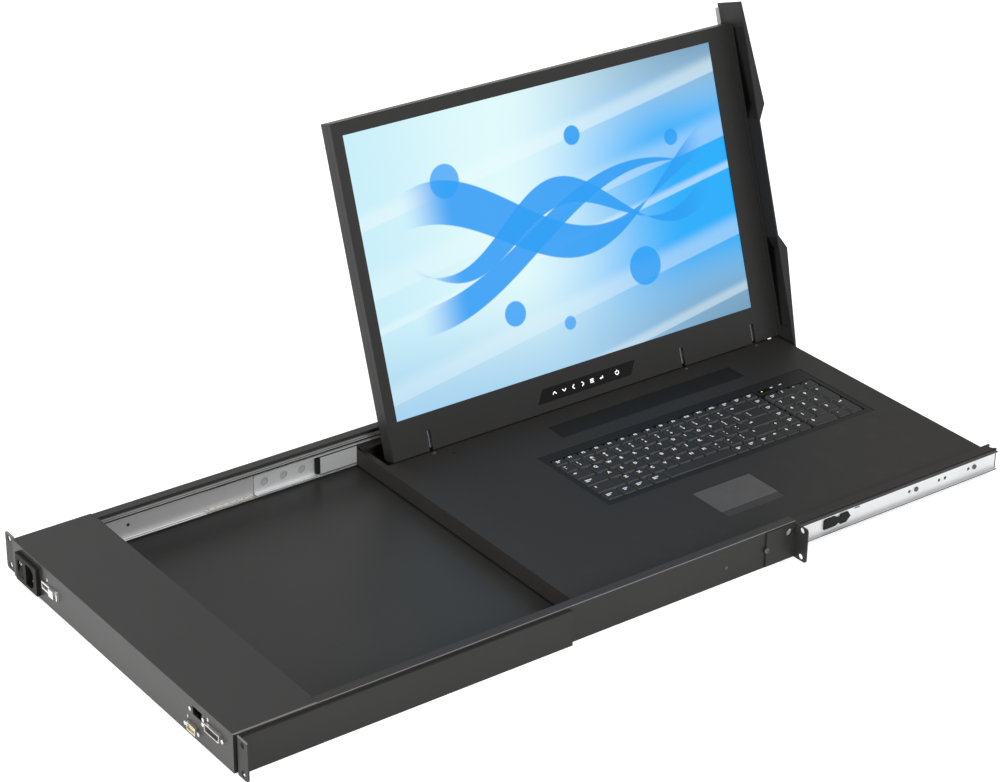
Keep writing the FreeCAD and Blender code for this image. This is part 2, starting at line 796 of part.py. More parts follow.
# ---------------------------------------------------------------- drawer
def drawer_tray():
    """Folded drawer: floor and side walls with inward top strips that reach
    past the front."""
    tray = new_body("drawer_tray")
    section = [
        ("-drawer_half", "drawer_floor"),
        ("drawer_half", "drawer_floor"),
        ("drawer_half", "strip_top"),
        ("drawer_half - strip_width", "strip_top"),
        ("drawer_half - strip_width", "strip_top - drawer_sheet"),
        ("drawer_half - drawer_sheet", "strip_top - drawer_sheet"),
        ("drawer_half - drawer_sheet", "drawer_floor + drawer_sheet"),
        ("-drawer_half + drawer_sheet", "drawer_floor + drawer_sheet"),
        ("-drawer_half + drawer_sheet", "strip_top - drawer_sheet"),
        ("-drawer_half + strip_width", "strip_top - drawer_sheet"),
        ("-drawer_half + strip_width", "strip_top"),
        ("-drawer_half", "strip_top"),
    ]
    pad(tray, draw(tray, "YZ_Plane", [section], shift="drawer_rear"), "drawer_length")
    for side, sign in SIDES:
        out = on_side(sign, "drawer_half")
        skin = on_side(sign, "drawer_half - drawer_sheet")
        lip = on_side(sign, "drawer_half - strip_width")
        horn = [
            (out, "drawer_floor"),
            (out, "strip_top"),
            (lip, "strip_top"),
            (lip, "strip_top - drawer_sheet"),
            (skin, "strip_top - drawer_sheet"),
            (skin, "drawer_floor"),
        ]
        pad(tray, draw(tray, "YZ_Plane", [horn], shift="drawer_front"), "deck_setback")
    notches = []
    for side, sign in SIDES:
        middle = on_side(sign, "drawer_half - strip_width / 2")
        notches.append(("travel", middle, "notch_radius"))
    pocket(tray, draw(tray, "XY_Plane", circles=notches, shift="strip_top + 1"), "drawer_sheet + 2")
    return keep(tray)


def drawer_end_walls():
    """The drawer's back wall, with a ledge beside the hinge trough, and its
    front wall, cut low at the trough."""
    near = "-drawer_half + drawer_sheet"
    far = "drawer_half - drawer_sheet"
    low = "drawer_floor + drawer_sheet"
    back = new_body("drawer_back_wall")
    rise = [
        (near, low),
        (far, low),
        (far, "deck_top"),
        ("trough_edge", "deck_top"),
        ("trough_edge", "deck_under"),
        (near, "deck_under"),
    ]
    pad(back, draw(back, "YZ_Plane", [rise], shift="drawer_rear"), "drawer_sheet")
    ledge = oblong("trough_edge", far, "deck_under", "deck_top")
    pad(back, draw(back, "YZ_Plane", [ledge], shift="drawer_rear"), "ledge_width")
    front = new_body("drawer_front_wall")
    dip = "hinge_height - sweep - 1"
    rise = [
        (near, low),
        (far, low),
        (far, dip),
        ("trough_edge", dip),
        ("trough_edge", "deck_under"),
        (near, "deck_under"),
    ]
    pad(front, draw(front, "YZ_Plane", [rise], shift="drawer_front"), "drawer_sheet", backwards=True)
    return keep(group("drawer_end_walls", back, front))


def keyboard_deck():
    """Flat deck over the drawer with openings for the keyboard, the touchpad
    and the dark strip behind the keys."""
    deck = new_body("keyboard_deck")
    wall = "-(drawer_half - drawer_sheet)"
    plate = draw(deck, "XY_Plane", [oblong("drawer_rear", "drawer_front", wall, "trough_edge")],
        shift="deck_under")
    pad(deck, plate, "drawer_sheet")
    openings = [
        oblong("frame_left", "frame_right", "frame_front", "frame_back"),
        oblong(
            "accessory_left",
            "accessory_left + accessory_length",
            "accessory_front",
            "accessory_front + accessory_depth",
        ),
        oblong(
            "touchpad_left",
            "touchpad_left + touchpad_width",
            "touchpad_front",
            "touchpad_front + touchpad_depth",
        ),
    ]
    pocket(deck, draw(deck, "XY_Plane", openings, shift="deck_top + 1"), "drawer_sheet + 2")
    pocket(deck, draw(deck, "XY_Plane", circles=[("-188", "139", "2")], shift="deck_top + 1"),
        "drawer_sheet + 2")
    return keep(deck)


def accessory_strip():
    return keep(
        block(
            "accessory_strip",
            "accessory_left - under_lap",
            "accessory_left + accessory_length + under_lap",
            "accessory_front - under_lap",
            "accessory_front + accessory_depth + under_lap",
            "deck_under - drawer_sheet",
            "deck_under",
        )
    )


def touchpad():
    """Pad and the plate under it, which is hollowed below the two buttons."""
    left = "touchpad_left"
    right = "touchpad_left + touchpad_width"
    front = "touchpad_front"
    back = "touchpad_front + touchpad_depth"
    split = "touchpad_front + touch_button_depth"
    top = "deck_top - touchpad_sink"
    plate = block(
        "touch_plate",
        f"{left} - under_lap",
        f"{right} + under_lap",
        f"{front} - under_lap",
        f"{back} + under_lap",
        "deck_under - 3",
        "deck_under",
    )
    well = block("touch_well", left, right, front, f"{split} + fit_gap", "deck_under - 1.2", "deck_top")
    base = minus("touch_base", plate, well)
    pad_top = block(
        "touch_pad",
        f"{left} + fit_gap",
        f"{right} - fit_gap",
        f"{split} + fit_gap",
        f"{back} - fit_gap",
        "deck_under - 1",
        top,
    )
    keep(plus("touchpad", base, pad_top))
    middle = f"({left} + {right}) / 2"
    halves = {
        "left": (f"{left} + fit_gap", f"{middle} - fit_gap / 2"),
        "right": (f"{middle} + fit_gap / 2", f"{right} - fit_gap"),
    }
    for name, (x0, x1) in halves.items():
        low = "deck_under - 1.2 + touch_button_travel + 0.1"
        keep(block(f"touch_button_{name}", x0, x1, f"{front} + fit_gap", split, low, top))


FORMULAS["sweep"] = "sqrt(hinge_rise * hinge_rise + hinge_inset * hinge_inset)"


# ---------------------------------------------------------------- keyboard
# Key widths in key pitches, row by row from the operator's edge.
KEY_ROWS = {
    "control": [1.25, 1, 1.25, 1.25, 5.25, 1, 1, 1, 1, 1, 1],
    "shift": [2.25] + [1] * 10 + [1.75, 1, 1],
    "home": [1.75] + [1] * 11 + [2.25, 1],
    "top": [1.5] + [1] * 12 + [1.5, 1],
    "number": [1] * 13 + [2, 1],
    "function": [1] * 16,
}
SPACE_BAR = 4
# Number pad: column, row, columns wide, rows tall.
PAD_KEYS = [(0, 0, 2, 1), (2, 0, 1, 1), (3, 0, 1, 2), (3, 2, 1, 2)]
PAD_KEYS += [(column, row, 1, 1) for row in (1, 2, 3) for column in (0, 1, 2)]
PAD_KEYS += [(column, 4, 1, 1) for column in (0, 1, 2, 3)]


def key_places():
    """Every key's rectangle by node: x0, x1, y0, y1."""
    pitch = value("key_pitch")
    gap = value("key_gap") / 2
    places = {}
    for row, (name, widths) in enumerate(KEY_ROWS.items()):
        depth = pitch if name != "function" else value("function_key_depth + key_gap")
        y0 = value("keyboard_front") + row * pitch
        x0 = value("keyboard_left")
        for number, width in enumerate(widths):
            x1 = x0 + width * pitch
            node = "space_bar" if name == "control" and number == SPACE_BAR else f"keys_{name}_row"
            places.setdefault(node, []).append((x0 + gap, x1 - gap, y0 + gap, y0 + depth - gap))
            x0 = x1
    for column, row, wide, tall in PAD_KEYS:
        x0 = value("numpad_left") + column * pitch
        y0 = value("keyboard_front") + row * pitch
        corner = (x0 + gap, x0 + wide * pitch - gap, y0 + gap, y0 + tall * pitch - gap)
        places.setdefault("keys_number_pad", []).append(corner)
    return places


def key_cap(x0, x1, y0, y1):
    """A tapered cap on a square stem."""
    low = value("keys_low")
    top = value("keys_top")
    draft = value("key_draft")
    stem = value("key_stem") / 2
    base = ((x0, y0), (x1, y0), (x1, y1), (x0, y1), (x0, y0))
    skirt = Part.makePolygon([FreeCAD.Vector(x, y, low) for x, y in base])
    x2, x3, y2, y3 = x0 + draft, x1 - draft, y0 + draft * 1.4, y1 - draft * 0.6
    rim = ((x2, y2), (x3, y2), (x3, y3), (x2, y3), (x2, y2))
    crown = Part.makePolygon([FreeCAD.Vector(x, y, top) for x, y in rim])
    cap = Part.makeLoft([skirt, crown], True, True)
    depth = value("key_bed_gap") + value("key_bed_sheet") / 2
    middle = FreeCAD.Vector((x0 + x1) / 2 - stem, (y0 + y1) / 2 - stem, low - depth)
    return cap.fuse(Part.makeBox(2 * stem, 2 * stem, depth + 0.5, middle))


def keyboard():
    """Key rows, and the frame that guides every key's stem in a square hole."""
    guides = []
    hole = value("key_stem") / 2 + value("fit_gap")
    for node, corners in key_places().items():
        row = doc.addObject("Part::Feature", node)
        row.Label = node
        row.Shape = Part.makeCompound([key_cap(*corner) for corner in corners])
        keep(row)
        for x0, x1, y0, y1 in corners:
            spot = FreeCAD.Vector((x0 + x1) / 2 - hole, (y0 + y1) / 2 - hole,
                value("key_bed - key_bed_sheet - 1"))
            guides.append(Part.makeBox(2 * hole, 2 * hole, value("key_bed_sheet") + 2, spot))
    holes = doc.addObject("Part::Feature", "guide_holes")
    holes.Shape = Part.makeCompound(guides)
    frame = block(
        "key_frame_block",
        "frame_left + fit_gap",
        "frame_right - fit_gap",
        "frame_front + fit_gap",
        "frame_back - fit_gap",
        "key_bed - key_bed_sheet",
        "deck_top - fit_gap",
    )
    wells = [
        block("key_well", "keyboard_left", "keys_right", "keyboard_front", "keys_back", "key_bed",
            "deck_top + 1"),
        block("function_well", "keyboard_left", "main_right", "keys_back - 1", "function_back", "key_bed",
            "deck_top + 1"),
        block(
            "led_well",
            "numpad_left",
            "numpad_left + led_width",
            "keys_back + 5",
            "keys_back + 5 + led_depth",
            "deck_top - fit_gap - 1.5",
            "deck_top + 1",
        ),
    ]
    keep(minus("keyboard_frame", frame, *wells, holes))
    keep(
        block(
            "led_window",
            "numpad_left + fit_gap",
            "numpad_left + led_width - fit_gap",
            "keys_back + 5 + fit_gap",
            "keys_back + 5 + led_depth - fit_gap",
            "deck_top - fit_gap - 1.5",
            "deck_top - fit_gap - 0.2",
        )
    )


# ---------------------------------------------------------------- hinge
HINGES = ("hinge_first", "hinge_second", "hinge_third")


def hinge_arms():
    """Three gooseneck plates that stand in the trough and carry the pins."""
    arms = []
    for number, middle in enumerate(HINGES):
        arm = new_body(f"hinge_arm_{number}")
        foot = "drawer_floor + drawer_sheet"
        plate = [
            ("hinge_across - 3", foot),
            ("hinge_across + 16", foot),
            ("hinge_across + 16", f"{foot} + 4"),
            ("hinge_across + hinge_tip_radius", "hinge_height - 14"),
            ("hinge_across + hinge_tip_radius", "hinge_height"),
            ("hinge_across - hinge_tip_radius", "hinge_height"),
            ("hinge_across - hinge_tip_radius", "hinge_height - 20"),
        ]
        start = f"{middle} - hinge_arm_sheet / 2"
        pad(arm, draw(arm, "YZ_Plane", [plate], shift=start), "hinge_arm_sheet")
        tip = draw(arm, "YZ_Plane", circles=[("hinge_across", "hinge_height", "hinge_tip_radius")],
            shift=start)
        pad(arm, tip, "hinge_arm_sheet")
        base = oblong(start, f"{middle} + 14", "hinge_across - 3", "hinge_across + 16")
        pad(arm, draw(arm, "XY_Plane", [base], shift=foot), "2")
        bore = [("hinge_across", "hinge_height", "hinge_pin_radius + 0.1")]
        pocket(arm, draw(arm, "YZ_Plane", circles=bore, shift=f"{start} - 1"), "hinge_arm_sheet + 2",
            backwards=True)
        arms.append(arm)
    return keep(group("hinge_arms", *arms))


def hinge_screws():
    """Two pan-head screws through each arm's foot, and one in the deck before it."""
    made = []
    for number, middle in enumerate(HINGES):
        for step, across in enumerate(("0", "12")):
            name = f"hinge_screw_{number}_{step}"
            low = "drawer_floor + drawer_sheet + 2"
            made.append(rod(name, "z", "2.6", "1.6", f"{middle} + 8", f"hinge_across + {across}", low))
        made.append(rod(f"deck_screw_{number}", "z", "2", "fit_gap", middle, "trough_edge - 4", "deck_top"))
    return keep(group("hinge_screws", *made))


# ---------------------------------------------------------------- display
# The display is drawn lying in its own frame: x along the drawer, y up the
# screen from the hinge, z out of the screen.  stand() turns it up.
def stand(thing):
    turn = (FreeCAD.Vector(1, 0, 0), "90 - lid_tilt")
    return place(thing, "0", "hinge_across", "hinge_height", turn)


def hinge_slots(low, high):
    """Slots that let the arms swing through the display's lower edge."""
    cuts = []
    for middle in HINGES:
        half = "hinge_slot_width / 2"
        cuts.append(oblong(f"{middle} - {half}", f"{middle} + {half}", low, high))
    return cuts


def display_back():
    """Rear shell of the display, a shallow tray."""
    back = new_body("display_back")
    outer = oblong("lid_left", "lid_right", "lid_low", "lid_high")
    pad(back, draw(back, "XY_Plane", [outer], shift="lid_back"), "skirt_low - fit_gap - lid_back")
    wall = "bezel_sheet"
    inner = oblong(f"lid_left + {wall}", f"lid_right - {wall}", f"lid_low + {wall}", f"lid_high - {wall}")
    pocket(back, draw(back, "XY_Plane", [inner], shift="skirt_low + 1"), "skirt_low + 1 - lid_inner")
    slots = draw(back, "XY_Plane", hinge_slots("lid_low - 1", "slot_top"), shift="face")
    pocket(back, slots, "lid_thickness + 1")
    stand(back)
    return keep(back)


def display_bezel():
    """Front frame with its skirt, the screen's opening, the hinge slots and a
    raised ridge beside the front panel."""
    bezel = new_body("display_bezel")
    outer = oblong("lid_left", "lid_right", "lid_low", "lid_high")
    pad(bezel, draw(bezel, "XY_Plane", [outer], shift="skirt_low"), "face - skirt_low")
    ridge = oblong("lid_right - 2.5", "lid_right", "lid_low", "lid_high")
    pad(bezel, draw(bezel, "XY_Plane", [ridge], shift="bezel_back"), "bezel_sheet + bezel_ridge")
    wall = "bezel_sheet"
    inner = oblong(f"lid_left + {wall}", f"lid_right - {wall}", f"lid_low + {wall}", f"lid_high - {wall}")
    pocket(bezel, draw(bezel, "XY_Plane", [inner], shift="skirt_low - 1"), "bezel_lip + 1", backwards=True)
    window = oblong("screen_left", "screen_right", "screen_low", "screen_high")
    pocket(bezel, draw(bezel, "XY_Plane", [window], shift="face + 1"), "bezel_sheet + 2")
    slots = draw(bezel, "XY_Plane", hinge_slots("lid_low - 1", "slot_top"), shift="face + 1")
    pocket(bezel, slots, "lid_thickness + 2")
    stand(bezel)
    return keep(bezel)


def in_display(name, x0, x1, y0, y1, z0, z1):
    """A box in the display's own frame."""
    made = new_body(name)
    pad(made, draw(made, "XY_Plane", [oblong(x0, x1, y0, y1)], shift=z0), f"({z1}) - ({z0})")
    stand(made)
    return made


def lcd_panel():
    made = in_display(
        "lcd_panel",
        "screen_left - module_margin",
        "screen_right + module_margin",
        "screen_low - module_margin",
        "screen_high + module_margin",
        "bezel_back - 0.2 - module_thickness",
        "bezel_back - 0.2",
    )
    return keep(made)


def driver_board():
    """Circuit board on posts behind the screen."""
    board = in_display("driver_board", "-90", "60", "60", "150", "lid_inner + board_post",
        "lid_inner + board_post + board_sheet")
    posts = []
    for x in ("-86", "56"):
        for y in ("64", "146"):
            posts.append((x, y, "2.5"))
    pad(board, draw(board, "XY_Plane", circles=posts, shift="lid_inner"), "board_post")
    return keep(board)


def control_panel():
    """Slanted touch strip for the screen's menu, under the screen."""
    strip = new_body("control_panel")
    low = "-control_height / 2"
    high = "control_height / 2"
    right = "control_left + control_length"
    outline = [
        ("control_left", low),
        (right, low),
        (f"{right} + control_slant", high),
        ("control_left + control_slant", high),
    ]
    pad(strip, draw(strip, "XY_Plane", [outline], shift="face"), "control_proud")
    stand(strip)
    return keep(strip)


def hinge_blocks():
    """A pair of cheeks in the display for each arm's pin."""
    cheeks = []
    for number, middle in enumerate(HINGES):
        for step, sign in enumerate(("-", "+")):
            near = f"{middle} {sign} (hinge_slot_width / 2 + fit_gap)"
            far = f"{middle} {sign} (hinge_slot_width / 2 + fit_gap + hinge_block_width)"
            x0, x1 = (far, near) if sign == "-" else (near, far)
            cheek = in_display(f"hinge_cheek_{number}_{step}", x0, x1,
                "-hinge_rise + bezel_sheet + fit_gap", "9", "lid_inner", "7")
            bore = draw(cheek, "YZ_Plane", circles=[("0", "0", "hinge_pin_radius")], shift=f"{x0} - 1")
            pocket(cheek, bore, "hinge_block_width + 2", backwards=True)
            cheeks.append(cheek)
    return keep(group("hinge_blocks", *cheeks))


def hinge_pins():
    length = "2 * (hinge_slot_width / 2 + fit_gap + hinge_block_width)"
    pins = []
    for number, middle in enumerate(HINGES):
        start = f"{middle} - ({length}) / 2"
        pins.append(rod(f"hinge_pin_{number}", "x", "hinge_pin_radius", length, start, "hinge_across",
            "hinge_height"))
    return keep(group("hinge_pins", *pins))


def front_panel():
    """Front panel on the display's end: a flat plate whose two hollow wings
    leave a finger recess between them."""
    panel = new_body("front_panel")
    reach = "panel_out + wing_depth"
    centre = "hinge_across"
    outline = [("panel_in", f"{centre} - panel_end"), ("panel_in", f"{centre} + panel_end")]
    outline += [("panel_out", f"{centre} + panel_end")]
    outline += [(reach, f"{centre} + wing_peak"), ("panel_out", f"{centre} + wing_half_recess")]
    outline += [("panel_out", f"{centre} - wing_half_recess"), (reach, f"{centre} - wing_peak")]
    outline += [("panel_out", f"{centre} - panel_end")]
    pad(panel, draw(panel, "XY_Plane", [outline], shift="lid_back"), "front_panel_height")
    slope = "front_panel_sheet"
    for sign in ("-", "+"):
        hollow = [
            ("panel_in - 1", f"{centre} {sign} (panel_end - 30)"),
            (f"panel_out + wing_depth * 0.24 - {slope}", f"{centre} {sign} (panel_end - 30)"),
            (f"{reach} - {slope}", f"{centre} {sign} (wing_peak + 1)"),
            (f"panel_out - {slope} / 2", f"{centre} {sign} (wing_half_recess + 2)"),
            ("panel_in - 1", f"{centre} {sign} (wing_half_recess + 2)"),
        ]
        cut = draw(panel, "XY_Plane", [hollow], shift="lid_back + front_panel_sheet")
        pocket(panel, cut, "front_panel_height - 2 * front_panel_sheet", backwards=True)
    stand(panel)
    return keep(panel)


def panel_flanges():
    """Bright return flange on the front panel's back edge, beyond either end
    of the display: short where it swings past the drawer's strip."""
    ends = (
        ("lid_low - flange_stub", "lid_low - fit_gap"),
        ("lid_high + fit_gap", "hinge_across + half - flange_width - 1"),
    )
    tabs = []
    for number, (y0, y1) in enumerate(ends):
        tabs.append(in_display(f"flange_{number}", "panel_in - flange_reach", "panel_in", y0, y1,
            "lid_back", "lid_back + 1"))
    return keep(group("panel_flanges", *tabs))


def panel_screws():
    """Screws that hold the front panel to the display's end."""
    made = []
    for number, up in enumerate(("20", "120", "232", "332")):
        screw = new_body(f"panel_screw_{number}")
        shank = draw(screw, "YZ_Plane", circles=[(up, "2", "1.8")], shift="lid_right")
        pad(screw, shank, "front_panel_gap")
        stand(screw)
        made.append(screw)
    return keep(group("panel_screws", *made))


# ---------------------------------------------------------------- rear bay
def power_inlet():
    """Mains inlet with an upright shrouded cavity and a switch opening beside it."""
    inlet = new_body("power_inlet")
    flange = oblong("inlet_left - inlet_rim", "inlet_right + inlet_rim", "inlet_low - inlet_rim",
        "inlet_high + inlet_rim")
    pad(inlet, draw(inlet, "YZ_Plane", [flange], shift="back_wall - inlet_proud"), "inlet_proud")
    barrel = oblong("inlet_left + fit_gap", "inlet_right - fit_gap", "inlet_low + fit_gap",
        "inlet_high - fit_gap")
    pad(inlet, draw(inlet, "YZ_Plane", [barrel], shift="back_wall - 1"), "inlet_depth + 1")
    cavity = [
        ("plug_left + plug_bevel", "plug_low"),
        ("plug_left + plug_width", "plug_low"),
        ("plug_left + plug_width", "plug_low + plug_height"),
        ("plug_left + plug_bevel", "plug_low + plug_height"),
        ("plug_left", "plug_low + plug_height - plug_bevel"),
        ("plug_left", "plug_low + plug_bevel"),
    ]
    pocket(inlet, draw(inlet, "YZ_Plane", [cavity], shift="back_wall - inlet_proud - 1"), "plug_depth + 1",
        backwards=True)
    switch = oblong("rocker_left - fit_gap", "rocker_left + rocker_width + fit_gap", "rocker_low - fit_gap",
        "rocker_high + fit_gap")
    pocket(inlet, draw(inlet, "YZ_Plane", [switch], shift="back_wall - inlet_proud - 1"), "plug_depth - 3",
        backwards=True)
    return keep(inlet)


FORMULAS.update({
    "inlet_middle": "(inlet_low + inlet_high) / 2",
    "plug_left": "inlet_left + 4.5",
    "plug_low": "inlet_middle - plug_height / 2",
    "rocker_left": "inlet_right - 2.5 - rocker_width",
    "rocker_low": "inlet_middle - rocker_height / 2",
    "rocker_high": "inlet_middle + rocker_height / 2",
})


def inlet_pins():
    """Line and neutral one above the other, earth beside them."""
    root = "back_wall - inlet_proud + plug_depth"
    pins = []
    for number, (across, up) in enumerate((("10.5", "-7"), ("6.5", "0"), ("10.5", "7"))):
        y = f"plug_left + {across}"
        z = f"inlet_middle + {up}"
        name = f"inlet_pin_{number}"
        pins.append(block(name, "back_wall", root, f"{y} - 2", f"{y} + 2", f"{z} - 1", f"{z} + 1"))
    return keep(group("inlet_pins", *pins))


def power_rocker():
    """Rocker with a shallow V face, tipped to one side."""
    rocker = new_body("power_rocker")
    up = "rocker_height / 2 - 0.6"
    outline = [
        ("-3", up),
        ("-1.2", "0"),
        ("-3", f"-({up})"),
        ("0", f"-({up})"),
        ("5", "-3"),
        ("5", "3"),
        ("0", up),
    ]
    pad(rocker, draw(rocker, "XZ_Plane", [outline]), "rocker_width", both=True)
    middle = "rocker_left + rocker_width / 2"
    place(rocker, "back_wall - inlet_proud + 3.6", middle, "inlet_middle",
        (FreeCAD.Vector(0, 1, 0), "rocker_tilt"))
    return keep(rocker)


def video_port(name, start):
    """D-shaped connector: a shell behind the back wall on a flange inside it."""
    port = new_body(name)
    left = f"{start}_left + fit_gap"
    right = f"{start}_right - fit_gap"
    low = f"{start}_low + fit_gap"
    high = f"{start}_high - fit_gap"
    shell = [(f"{left} + 1", low), (f"{right} - 1", low), (right, high), (left, high)]
    pad(port, draw(port, "YZ_Plane", [shell], shift="back_wall - port_reach"), "port_reach + chassis_sheet")
    flange = oblong(f"{left} - 7", f"{right} + 7", f"{low} - 1.5", f"{high} + 1.5")
    pad(port, draw(port, "YZ_Plane", [flange], shift="back_wall + chassis_sheet"), "9")
    mouth = [
        (f"{left} + 1.8", f"{low} + 0.8"),
        (f"{right} - 1.8", f"{low} + 0.8"),
        (f"{right} - 0.9", f"{high} - 0.8"),
        (f"{left} + 0.9", f"{high} - 0.8"),
    ]
    pocket(port, draw(port, "YZ_Plane", [mouth], shift="back_wall - port_reach - 1"), "port_reach + 3.9",
        backwards=True)
    return keep(port)


def service_port():
    """Wide metal-shelled connector: a slot beside a proud latch block, and a
    short bar at its end."""
    port = new_body("service_port")
    latch = "jack_left + 7"
    slot = "jack_left + 17"
    outer = oblong(latch, "jack_right - fit_gap", "jack_low + fit_gap", "jack_high - fit_gap")
    pad(port, draw(port, "YZ_Plane", [outer], shift="back_wall - 2"), "14")
    proud = oblong(latch, slot, "jack_low + fit_gap", "jack_high - fit_gap")
    pad(port, draw(port, "YZ_Plane", [proud], shift="back_wall - 4"), "2")
    bar = oblong("jack_left + fit_gap", "jack_left + 2.5", "jack_low + 1", "jack_high - fit_gap")
    pad(port, draw(port, "YZ_Plane", [bar], shift="back_wall - 3"), "3 + chassis_sheet")
    shoulder = oblong("jack_left - 3", "jack_right + 3", "jack_low - 2", "jack_high + 2")
    pad(port, draw(port, "YZ_Plane", [shoulder], shift="back_wall + chassis_sheet"), "5")
    mouth = oblong(f"{slot} + 1", "jack_right - 1.3", "jack_low + 2.2", "jack_high - 2.2")
    pocket(port, draw(port, "YZ_Plane", [mouth], shift="back_wall - 3"), "9", backwards=True)
    return keep(port)


def port_standoffs():
    """Hexagonal posts beside each video connector, and two screws at the spare
    opening."""
    made = []
    for start in ("vga", "video", "spare"):
        for step, across in enumerate((f"{start}_left - 3.6", f"{start}_right + 3.6")):
            post = doc.addObject("Part::Prism", f"post_{start}_{step}")
            post.Polygon = 6
            bind(post, "Circumradius", "standoff_radius")
            bind(post, "Height", "standoff_reach" if start != "spare" else "1.2")
            reach = "standoff_reach" if start != "spare" else "1.2"
            place(post, f"back_wall - {reach}", across, f"({start}_low + {start}_high) / 2", AXES["x"])
            made.append(post)
    return keep(group("port_standoffs", *made))


def power_supply():
    start = "back_wall + chassis_sheet + 4"
    return keep(
        block(
            "power_supply",
            start,
            f"{start} + supply_length",
            "jack_left - 4 - supply_width",
            "jack_left - 4",
            "floor + chassis_sheet",
            "floor + chassis_sheet + supply_height",
        )
    )


def interface_board():
    """Video board on posts behind the connectors."""
    board = new_body("interface_board")
    low = "floor + chassis_sheet"
    plate = oblong("back_wall + 14", "cover_front - 8", "-inside + 6", "-inside + 150")
    pad(board, draw(board, "XY_Plane", [plate], shift=f"{low} + board_post"), "board_sheet")
    posts = []
    for x in ("back_wall + 19", "cover_front - 13"):
        for y in ("-inside + 11", "-inside + 145"):
            posts.append((x, y, "2.5"))
    pad(board, draw(board, "XY_Plane", circles=posts, shift=low), "board_post")
    return keep(board)


# ---------------------------------------------------------------- output
def finish():
    doc.recompute()
    broken = [item.Label for item in doc.Objects if {"Invalid", "Error"} & set(item.State)]
    if broken:
        raise RuntimeError(f"failed objects: {broken}")
    for thing in SUBPARTS:
        if thing.Shape.isNull() or not thing.Shape.isValid():
            raise RuntimeError(f"{thing.Label} has no valid shape")
        thing.Shape.exportStep(f"parts/{thing.Label}.step")
        solids = len(thing.Shape.Solids)
        print(f"{thing.Label}: {solids} solids, {thing.Shape.Volume / 1000:.2f} cm3, {thing.Shape.BoundBox}")


chassis_pan()
rear_panel()
rear_cover()
for side, sign in SIDES:
    front_ear(side, sign)
    rear_bracket(side, sign)
    outer_rail(side, sign)
    mid_rail(side, sign)
    inner_rail(side, sign)
    ball_cage(side, sign)
    release_lever(side, sign)
ear_screws()
bracket_screws()
outer_rail_screws()
inner_rail_screws()
tail_stops()
drawer_tray()
drawer_end_walls()
keyboard_deck()
accessory_strip()
touchpad()
keyboard()
hinge_arms()
hinge_screws()
display_back()
display_bezel()
lcd_panel()
driver_board()
control_panel()
hinge_blocks()
hinge_pins()
front_panel()
panel_flanges()
panel_screws()
power_inlet()
inlet_pins()
power_rocker()
video_port("vga_port", "vga")
video_port("console_port", "video")
service_port()
port_standoffs()
power_supply()
interface_board()
finish()
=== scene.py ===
import json
import math
import bmesh
import bpy
from mathutils import Matrix, Vector


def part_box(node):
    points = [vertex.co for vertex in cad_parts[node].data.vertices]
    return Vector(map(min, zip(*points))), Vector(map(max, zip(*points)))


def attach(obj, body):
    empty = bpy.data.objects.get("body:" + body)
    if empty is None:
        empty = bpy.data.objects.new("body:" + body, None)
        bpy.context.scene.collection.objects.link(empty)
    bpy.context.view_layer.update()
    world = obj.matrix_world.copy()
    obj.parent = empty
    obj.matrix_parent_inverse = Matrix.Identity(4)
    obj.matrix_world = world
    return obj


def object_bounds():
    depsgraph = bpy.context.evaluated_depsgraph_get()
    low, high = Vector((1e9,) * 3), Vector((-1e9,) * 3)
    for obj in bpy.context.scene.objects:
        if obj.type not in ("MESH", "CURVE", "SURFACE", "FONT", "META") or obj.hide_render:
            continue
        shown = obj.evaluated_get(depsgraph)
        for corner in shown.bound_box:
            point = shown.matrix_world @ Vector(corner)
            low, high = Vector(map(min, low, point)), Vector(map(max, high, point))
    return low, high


# The look of a one-unit rack drawer with a keyboard and a screen: paint and
# plating, key legends, the lit picture, connector inserts and small signs.
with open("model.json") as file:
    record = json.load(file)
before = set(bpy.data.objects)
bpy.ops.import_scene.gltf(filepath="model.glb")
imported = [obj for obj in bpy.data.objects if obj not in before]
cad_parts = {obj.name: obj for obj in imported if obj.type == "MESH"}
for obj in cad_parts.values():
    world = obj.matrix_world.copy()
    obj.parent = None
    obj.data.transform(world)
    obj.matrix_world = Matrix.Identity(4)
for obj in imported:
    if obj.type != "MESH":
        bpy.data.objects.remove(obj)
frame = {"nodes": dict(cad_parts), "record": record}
CAD_BOX = [list(corner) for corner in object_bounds()]
NODES = frame["nodes"]
MM = 0.001

# The display's own frame: x along the drawer, y up the screen from the hinge
# line, z out of the screen towards the operator.
JOINTS = {joint["name"]: joint for joint in frame["record"]["behaviour"]["joints"]}
HINGE = JOINTS["display_hinge"]
RAISED = math.radians(180 - HINGE["range_deg"][1])
HINGE_LINE = Vector((0, HINGE["pos_m"][1], HINGE["pos_m"][2]))
DISPLAY = Matrix.Translation(HINGE_LINE) @ Matrix.Rotation(RAISED, 4, "X")


# ---------------------------------------------------------------- shaders
class Wire:
    """A shader node's output; arithmetic on it adds Math nodes."""

    def __init__(self, paint, output):
        self.paint = paint
        self.output = output

    def maths(self, operation, *values):
        return self.paint.node("Math", {"operation": operation}, dict(enumerate(values)))

    def __add__(self, other):
        return self.maths("ADD", self, other)

    def __sub__(self, other):
        return self.maths("SUBTRACT", self, other)

    def __mul__(self, other):
        return self.maths("MULTIPLY", self, other)

    def __truediv__(self, other):
        return self.maths("DIVIDE", self, other)

    def __abs__(self):
        return self.maths("ABSOLUTE", self)

    def sine(self):
        return self.maths("SINE", self)

    def root(self):
        return self.maths("SQRT", self)

    def step(self, low, high):
        """0 below low and 1 above high, smooth between; low may be the larger."""
        settings = {"interpolation_type": "SMOOTHSTEP", "clamp": True}
        ends = {"Value": self, "From Min": low, "From Max": high}
        return self.paint.node("MapRange", settings, ends)

    __radd__ = __add__


